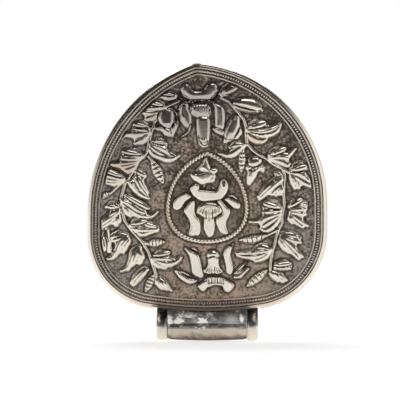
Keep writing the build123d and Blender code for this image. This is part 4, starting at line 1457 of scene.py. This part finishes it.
# %% A closed sheet
def grid_sheet(x, z, depth, inside, edge):
    """Points and faces of the part of a grid that lies inside, with its edge pulled to the outline."""
    cells = inside[:-1, :-1] & inside[1:, :-1] & inside[:-1, 1:] & inside[1:, 1:]
    number = np.arange(x.size).reshape(x.shape)
    rows, columns = np.nonzero(cells)
    corners = [(0, 0), (0, 1), (1, 1), (1, 0)]
    faces = np.stack([number[rows + down, columns + right] for down, right in corners], 1)
    kept, flat = np.unique(faces, return_inverse=True)
    faces = flat.reshape(faces.shape)
    points = np.stack([x.ravel()[kept], depth.ravel()[kept], z.ravel()[kept]], 1)
    loop = edge_loop(faces)
    way = points[loop][:, (0, 2)] - grid_middle
    far = np.hypot(*way.T)
    pulled = grid_middle + way * (edge.ravel()[kept][loop] / far)[:, None]
    points[loop, 0] = pulled[:, 0]
    points[loop, 2] = pulled[:, 1]
    return points, faces, loop, kept


def edge_loop(faces):
    """The outer edge of a sheet, as point numbers in order."""
    starts = faces.ravel()
    ends = np.roll(faces, -1, 1).ravel()
    there = dict.fromkeys(zip(starts.tolist(), ends.tolist()))
    after = {start: end for start, end in there if (end, start) not in there}
    loop = [next(iter(after))]
    while after[loop[-1]] != loop[0]:
        loop.append(after[loop[-1]])
    return np.array(loop)


def edge_turns(points, loop):
    """The direction of each point of an edge, seen from the grid's middle."""
    way = points[loop][:, (0, 2)] - grid_middle
    return np.unwrap(np.arctan2(way[:, 1], way[:, 0]))


def sewn(front_points, front_loop, back_points, back_loop):
    """Three-sided faces that join the edges of two sheets, always from the edge that lags behind."""
    front_turn = edge_turns(front_points, front_loop)
    apart = np.angle(np.exp(1j * (edge_turns(back_points, back_loop) - front_turn[0])))
    back_loop = np.roll(back_loop, -np.argmin(np.abs(apart)))
    back_turn = edge_turns(back_points, back_loop)
    back_turn += 2 * np.pi * np.round((front_turn[0] - back_turn[0]) / (2 * np.pi))
    all_round = 2 * np.pi * np.sign(front_turn[-1] - front_turn[0])
    front_due = np.abs(np.r_[front_turn[1:], front_turn[0] + all_round] - front_turn[0])
    back_due = np.abs(np.r_[back_turn[1:], back_turn[0] + all_round] - front_turn[0])
    front_ring = np.r_[front_loop, front_loop[0]].tolist()
    back_ring = (np.r_[back_loop, back_loop[0]] + len(front_points)).tolist()
    faces = []
    near, far = 0, 0
    while near < len(front_due) or far < len(back_due):
        if far == len(back_due) or (near < len(front_due) and front_due[near] <= back_due[far]):
            faces.append((front_ring[near], front_ring[near + 1], back_ring[far]))
            near += 1
        else:
            faces.append((front_ring[near], back_ring[far + 1], back_ring[far]))
            far += 1
    return faces


def closed_sheet(front, back):
    """A front and a back sheet, sewn together along their edges."""
    front_points, front_faces, front_loop, _ = front
    back_points, back_faces, back_loop, _ = back
    faces = front_faces.tolist() + (back_faces[:, ::-1] + len(front_points)).tolist()
    faces += sewn(front_points, front_loop, back_points, back_loop)
    return np.concatenate([front_points, back_points]), faces


print("edge of the plate", round(walk(box_arcs(), plate_inset, 0.5)[3]), "mm round")

# %% The plate
back_coarseness = 3
back_softness = 0.6
back_push = 0.6


def chased_plate():
    """The worked front, with a coarser and softer copy of its relief as the back."""
    edge = reach_at(box_arcs(), plate_inset, across, up)
    front = grid_sheet(across, up, ground_depth - surface, from_middle < edge, edge)
    pick = (slice(None, None, back_coarseness),) * 2
    push = blurred(height, back_softness)[pick] * back_push
    back_inside = (from_middle < edge)[pick]
    back = grid_sheet(across[pick], up[pick], ground_depth + front_sheet - push, back_inside, edge[pick])
    points, faces = closed_sheet(front, back)
    piece = make_piece("chased_plate", points, faces, "front_cover", "front_plate", "chased_silver")
    kept = front[3]
    for name, field in (("raised", raised), ("hollow", hollow), ("lip", lip), ("blush", blush)):
        values = np.zeros(len(points))
        values[:len(kept)] = field.ravel()[kept]
        piece.data.attributes.new(name, "FLOAT", "POINT").data.foreach_set("value", values)
    return piece


chased_plate()

# %% [markdown]
# ## Border wires and the drop of rope
# Three wires lie along the edge of the plate: plain, beaded and plain again. A fourth wire of two
# twisted strands is bent to a drop round the middle flower. A curve with a round bevel would keep one
# thickness all the way, so each wire is made from rows of points instead. Beads are one tube whose
# thickness swells and shrinks on the way, and a strand is a tube along a screw line.

# %% Border wires
ridge_width = 0.55
ridge_height = 0.5
ridge_step = 0.35
ridge_worn_off = 0.12
ridge_thinned = 0.08
ridge_fullness = 0.8
ridge_foot = (0.9, -0.1)
bead_width = 0.9
bead_pitch = 0.72
bead_step = 0.12
bead_squeeze = 0.96
bead_rise = 0.02
bead_fullness = 0.7
bead_flatness = 0.95
waist_depth = 0.75
waist_usual = 0.62
waist_to_right = 0.3
waist_uneven = 0.25
waist_least = 0.25
outer_ridge_inset = 1.775
bead_inset = 2.65
inner_ridge_inset = 3.525
ground_forward = -ground_depth


def ridge_wire(name, inset):
    """A half-round wire that is worn a little lower and thinner in places."""
    place, outward, marks, length = walk(box_arcs(), inset, ridge_step)
    turn = np.radians(np.linspace(180, 0, 7))
    low = 1 - ridge_worn_off * np.clip(slow_waves(marks, length, count=24), -1, 1) ** 2
    thin = 1 - ridge_thinned * np.clip(slow_waves(marks, length, count=30), -1, 1) ** 2
    half = ridge_width / 2 * thin
    foot_share, foot_forward = ridge_foot
    offset = half[:, None] * np.r_[np.cos(turn), foot_share, -foot_share]
    sides = low[:, None] * ridge_height * np.abs(np.sin(turn)) ** ridge_fullness
    foot = np.full((len(marks), 2), foot_forward)
    rows = swept(place, outward, ground_forward + np.concatenate([sides, foot], 1), offset)
    return make_ring(name, rows, "front_cover", name.replace("_ridge", "_wire"), "wire_silver")


def beaded_wire():
    """A row of beads, with deeper waists on the right, where the wire is less worn."""
    place, outward, marks, length = walk(box_arcs(), bead_inset, bead_step)
    beads = round(length / bead_pitch)
    swell = np.abs(np.cos(np.pi * beads * marks / length)) ** bead_fullness
    side = place[:, 0] / half_width
    waist = waist_usual + waist_to_right * side + waist_uneven * slow_waves(marks, length, count=9)
    waist = np.clip(waist, waist_least, 1)
    radius = bead_width / 2 * (1 - waist_depth * waist * (1 - swell)) * bead_squeeze
    turn = np.linspace(0, 2 * np.pi, 11)[:-1]
    offset = radius[:, None] * np.cos(turn)
    forward = ground_forward + bead_rise + radius[:, None] * np.sin(turn) * bead_flatness
    rows = swept(place, outward, forward, offset)
    return make_ring("border_beads", rows, "front_cover", "border_beaded_wire", "wire_silver")


ridge_wire("border_outer_ridge", outer_ridge_inset)
beaded_wire()
ridge_wire("border_inner_ridge", inner_ridge_inset)

# %% Drop of rope
rope_pitch = 1.9
rope_step = 0.14
rope_rise = 0.12
rope_flat_heights = (25.5, 23.4)
strand_radius = 0.4
strand_away = 0.3
flat_thicker = 0.3
flat_closer = 0.5


def rope_drop():
    """Two strands round each other, pressed flat at the bottom of the drop."""
    place, outward, marks, length = walk(drop_arcs(), 0, rope_step)
    twists = round(length / rope_pitch)
    rim = np.linspace(0, 2 * np.pi, 9)[:-1]
    flat = smooth_rise(place[:, 1], *rope_flat_heights)[:, None]
    thick = strand_radius * (1 + flat_thicker * flat)
    apart = strand_away * (1 - flat_closer * flat)
    points = []
    faces = []
    for strand in range(2):
        screw = (2 * np.pi * twists * marks / length + np.pi * strand)[:, None]
        offset = apart * np.cos(screw) + thick * np.cos(rim)
        forward = ground_forward + rope_rise + apart * np.sin(screw) + thick * np.sin(rim)
        rows = swept(place, outward, forward, offset)
        first = len(marks) * len(rim) * strand
        faces += [[number + first for number in face] for face in grid_faces(*rows.shape[:2])]
        points.append(rows.reshape(-1, 3))
    points = np.concatenate(points)
    finish = "rope_silver"
    return make_piece("rope_drop", points, faces, "front_cover", "medallion_rope", "wire_silver", finish)


rope_drop()

# %% [markdown]
# ## Walls, sleeve and rim strips
# The walls are strips of sheet bent round the outline. The front one is bevelled and rounded over at
# its rim, which is the smooth bright band round the picture. Cutting them from a block would leave
# them perfectly true, but a strip that is bent and soldered by hand never is. So a section is drawn
# along the outline and let in and out a little on the way.

# %% Walls and sleeve
front_depth = 8.2
back_depth = 6.5
seam_half = 0.05
wall_step = 0.6
wall_sheet = 0.8
rim_depth = 0.9
rim_bevel = 1.4
rim_below = 0.3
rim_inner_edge = (0.05, 0.12)
front_wall_inset = 0.5
back_wall_inset = 0.45
back_wall_sheet = 0.95
sleeve_inset = 1.45
sleeve_sheet = 0.6
sleeve_front = 3.2
sleeve_back = -4.0
edge_rounding = 0.08
rim_unevenness = 0.03
unevenness = 0.02


def bent_strip(name, inset, section, body, node, slot, uneven_by):
    """A closed strip of sheet whose section is given as (forward, outward) corners."""
    place, outward, marks, length = walk(box_arcs(), inset, wall_step)
    wobble = -uneven_by * np.abs(slow_waves(marks, length, count=16))
    forward, offset = np.array(section).T
    rows = swept(place, outward, forward, offset + wobble[:, None])
    return make_ring(name, rows, body, node, slot)


def rim_section():
    """The outer side, a rim that is rounded over its whole thickness, and the inner side."""
    inner_step, inner_drop = rim_inner_edge
    side = [(forward, 0.0) for forward in np.linspace(seam_half, front_depth - rim_depth - rim_below, 7)]
    rim = []
    for turn in np.radians(np.linspace(0, 90, 10)):
        rise = math.sin(turn) ** rim_bevel
        reach = max(0.0, math.cos(turn)) ** rim_bevel
        rim.append((front_depth - rim_depth * (1 - rise), (wall_sheet - inner_step) * (reach - 1)))
    return side + rim + [(front_depth - inner_drop, -wall_sheet), (seam_half, -wall_sheet)]


def box_section(front, back, sheet):
    """A flat strip with its four long edges broken."""
    low, high = back + edge_rounding, front - edge_rounding
    outer, inner = -edge_rounding, edge_rounding - sheet
    return [
        (back, outer), (low, 0), (high, 0), (front, outer),
        (front, inner), (high, -sheet), (low, -sheet), (back, inner),
    ]


tray_section = box_section(-seam_half, -back_depth, back_wall_sheet)
sleeve_section = box_section(sleeve_front, sleeve_back, sleeve_sheet)
rim = rim_section()
bent_strip("rim_wall", front_wall_inset, rim, "front_cover", "front_wall", "plain_silver", rim_unevenness)
bent_strip("tray_wall", back_wall_inset, tray_section, "back_tray", "back_wall", "plain_silver", unevenness)
bent_strip("sleeve", sleeve_inset, sleeve_section, "back_tray", "inner_sleeve", "inner_silver", unevenness)

# %% Rim strips
strip_sheet = 0.4
strip_front = 1.2
strip_back = -1.8
strip_step = 0.5
strip_rounding = 0.14
strip_unevenness = 0.04
strip_tube_end = 14.2
lap_end = 15.3


def rim_strip(name, node, side, upper_end):
    """A strip from beside the tube up to upper_end, on the left where side is -1 and else on the right."""
    place, outward, marks, _ = walk(box_arcs(), 0, strip_step)
    beyond_tube = side * place[:, 0] > strip_tube_end
    before_end = side * (place[:, 0] - upper_end) > 0
    chosen = np.where(place[:, 1] < right_widest_height, beyond_tube, before_end)
    start = np.nonzero(chosen & ~np.roll(chosen, 1))[0][0]
    order = (start + np.arange(chosen.sum())) % len(place)
    waves = strip_unevenness * np.abs(slow_waves(marks, marks[-1], count=20))[order, None]
    low, high = strip_back + strip_rounding, strip_front - strip_rounding
    forward = np.array([strip_back, low, high, strip_front, strip_front, strip_back])
    offset = np.array([-strip_rounding, 0, 0, -strip_rounding, -strip_sheet, -strip_sheet])
    rows = swept(place[order], outward[order], forward + waves * np.sign(-forward), offset)
    return make_piece(name, rows, capped_faces(*rows.shape[:2]), "back_tray", node, "plain_silver")


rim_strip("left_strip", "left_rim_strip", -1, tip_centre[0])
rim_strip("right_strip", "right_rim_strip", 1, lap_end)

# %% [markdown]
# ## The plain back
# Nobody looks at the back, so it is left plain: a sheet with soft dents, rounded over at its edge
# and worn by cloth. A bump in the finish could fake the dents, but they would vanish at a low angle.
# So it is the same kind of grid as the front, with a coarser step.

# %% Back plate
back_sheet = 0.7
back_edge_round = 0.35
back_step = 0.8
back_across = (-32.8, 32.8)
back_up = (3.2, 71.4)
back_dents = 46
back_dent_limit = 0.3
dent_field = ((-30, 6), (30, 66))
dent_sizes = (3, 9)
dent_depths = (0.02, 0.1)


def back_sheet_piece():
    x, z = np.meshgrid(np.arange(*back_across, back_step), np.arange(*back_up, back_step))
    far = np.hypot(x - grid_middle[0], z - grid_middle[1])
    edge = reach_at(box_arcs(), back_wall_inset, x, z)
    dents = np.zeros(x.shape)
    for _ in range(back_dents):
        middle = rng.uniform(*dent_field)
        size = rng.uniform(*dent_sizes)
        away = np.hypot(x - middle[0], z - middle[1]) / size
        dents += rng.uniform(*dent_depths) * np.exp(-2 * away ** 2)
    inward = np.clip(edge - far, 0, None)
    round_off = back_edge_round * np.clip(1 - inward / (2 * back_step), 0, 1) ** 2
    outer_depth = back_depth + back_sheet - np.minimum(dents, back_dent_limit) - round_off
    outer = grid_sheet(x, z, outer_depth, far < edge, edge)
    inner = grid_sheet(x, z, np.full(x.shape, back_depth), far < edge, edge)
    points, faces = closed_sheet(inner, outer)
    return make_piece("back_sheet", points, faces, "back_tray", "back_plate", "back_silver")


back_sheet_piece()

# %% [markdown]
# ## The cord tube
# The tube is a rolled sheet in three lengths. Each has an apron that is soldered to its own shell,
# and a bore for the cord. Joining a cylinder to a wedge would leave a hard seam between them. A grid
# of turns and steps along the tube has none: it says how far the outside lies in each direction, has
# the bore as the way back, and takes hammer blows as shallow dents.

# %% Tube lengths
bore_radius = 2.9
tube_sides = 160
tube_step = 0.3
tube_least_steps = 14
bore_steps = 6
swell_fullness = 0.8
end_rounding = 0.22
end_rounding_length = 0.25
apron_sheet = 0.2
apron_low_edge = -0.9
apron_edge_fade = 0.25
apron_foot = 0.6
apron_top = 4.9
apron_back_edge = 0.35
solder_gap = 0.05
blow_turns = (-1.2, 1.4)
blow_sizes = (0.5, 1.3)
blow_depths = (0.03, 0.1)
blow_radius = 4.2
# A length is its name, node, body, start and end, wall, swell, side of the apron, the apron's reach,
# how many blows it took and how far inside the outline its shell lies.
tube_lengths = [
    ("barrel", "barrel_knuckle", "front_cover", (-10.6, 10.6), 0.65, 0.35, -1, 7.4, 150, front_wall_inset),
    ("left_ring", "left_knuckle", "back_tray", (-13.6, -10.66), 0.6, 0.3, 1, 6.4, 14, back_wall_inset),
    ("right_ring", "right_knuckle", "back_tray", (10.66, 13.6), 0.9, 0.3, 1, 6.4, 14, back_wall_inset),
]


def apron_away(forward, upward, foot, reach, ceiling):
    """How far the apron lies from the bore in each direction: its slope in front, the box above."""
    run = np.array([reach, apron_top]) - foot
    across = forward * run[1] - upward * run[0]
    slope = (foot[0] * run[1] - foot[1] * run[0]) / np.where(np.abs(across) < 1e-6, 1e-6, across)
    top = ceiling / np.maximum(upward, 1e-3)
    return np.where(across > 0, np.minimum(slope, top), top)


def tube_length(name, node, body, span, wall, swell, side, reach, blows, wall_inset):
    """One length of tube. Its apron is on the front where side is -1 and on the back where it is 1."""
    start, end = span
    along = np.linspace(start, end, max(tube_least_steps, round((end - start) / tube_step)))
    turn = np.linspace(0, 2 * np.pi, tube_sides + 1)[:-1, None]
    forward = np.cos(turn)
    upward = np.sin(turn)
    share = (along - start) / (end - start)
    tube = bore_radius + wall + swell * np.sin(np.pi * share) ** swell_fullness
    tube = tube - end_rounding * np.exp(-np.minimum(along - start, end - along) / end_rounding_length)
    covered = np.clip((upward * tube - apron_low_edge) / apron_edge_fade, 0, 1) * (forward > 0)
    out = tube + apron_sheet * covered
    ceiling = bottom_centre - np.sqrt((bottom_radius - wall_inset + solder_gap) ** 2 - along ** 2)
    apron = apron_away(forward, upward, np.array([bore_radius + wall, apron_foot]), reach, ceiling)
    inside = (upward > 0.02) & (forward * apron > apron_back_edge)
    out = np.where(inside, np.maximum(out, apron), out)
    for _ in range(blows):
        blow_along = rng.uniform(start, end)
        blow_turn = rng.uniform(*blow_turns) % (2 * np.pi)
        size = rng.uniform(*blow_sizes)
        away = np.hypot(along - blow_along, (turn - blow_turn) * blow_radius) / size
        out = out - rng.uniform(*blow_depths) * np.exp(-1.5 * away ** 2)
    out = np.concatenate([out, np.full((len(turn), bore_steps), bore_radius)], 1)
    x = np.broadcast_to(np.r_[along, np.linspace(end, start, bore_steps)], out.shape)
    rows = np.stack([x, side * forward * out, upward * out], -1)
    return make_ring(name, rows, body, node, "tube_silver")


for row in tube_lengths:
    tube_length(*row)

# %% [markdown]
# ## The rolled paper
# Inside lies a strip of hand-made paper, rolled up and held by a band. Rings inside each other would
# look the same from afar, but a roll is one long spiral sheet, so it is made as one: the spiral out,
# the spiral back a sheet's thickness further, and the whole drawn along the roll with uneven ends.

# %% Scroll and band
scroll_place = np.array([2.475, 10.392])
scroll_half_length = 13.0
scroll_turns = 3
scroll_steps = 150
scroll_stations = 15
scroll_core = 1.28
scroll_pitch = 0.75
scroll_radius = 3.625
scroll_ragged = 0.25
ragged_steepness = 8
paper_sheet = 0.42
band_half_width = 3.0
band_wave = 0.06
band_edge = [(-1, 0.05), (-1, 0.25), (-0.5, 0.3), (0, 0.28), (0.5, 0.3), (1, 0.25), (1, 0.05)]


def round_scroll(x, reach, turn):
    """Points at a reach and a turn round the middle of the roll."""
    y = scroll_place[0] + reach * np.cos(turn)
    z = scroll_place[1] + reach * np.sin(turn)
    return np.stack([np.broadcast_to(x, y.shape), y, z], -1)


def rolled_paper():
    turn = np.linspace(0, 2 * np.pi * scroll_turns, scroll_steps)
    inner = scroll_core + scroll_pitch * turn / (2 * np.pi)
    loop_turn = np.r_[turn, turn[::-1]]
    loop_reach = np.minimum(np.r_[inner, (inner + paper_sheet)[::-1]], scroll_radius)
    stations = np.linspace(-1, 1, scroll_stations)
    ragged = scroll_ragged * rng.uniform(-1, 0, (2, len(loop_turn)))
    rows = []
    for station in stations:
        end = np.where(station < 0, -ragged[0], ragged[1]) * abs(station) ** ragged_steepness
        rows.append(round_scroll(station * scroll_half_length + end, loop_reach, loop_turn))
    rows = np.array(rows)
    columns = len(loop_turn)
    faces = grid_faces(*rows.shape[:2], False)
    for first in (0, (len(stations) - 1) * columns):
        for number in range(len(turn) - 1):
            outer = first + columns - 1 - number
            faces.append([first + number, first + number + 1, outer - 1, outer])
    return make_piece("rolled_paper", rows, faces, "back_tray", "prayer_scroll", "scroll_paper")


def paper_band():
    turn = np.linspace(0, 2 * np.pi, 73)[:-1, None]
    along, above = np.array(band_edge).T
    x = along * band_half_width + band_wave * np.sin(3 * turn)
    rows = round_scroll(x, scroll_radius + above, turn)
    return make_ring("paper_band", rows, "back_tray", "scroll_band", "band_paper")


rolled_paper()
paper_band()

# %% [markdown]
# ## Sizes and the last line
# The dressed box has to stay inside the solids' box, whose size is printed at the end.

# %% Finish
bpy.context.scene.view_settings.view_transform = "Standard"
print("cad box", [[round(value, 4) for value in end] for end in cad_box])
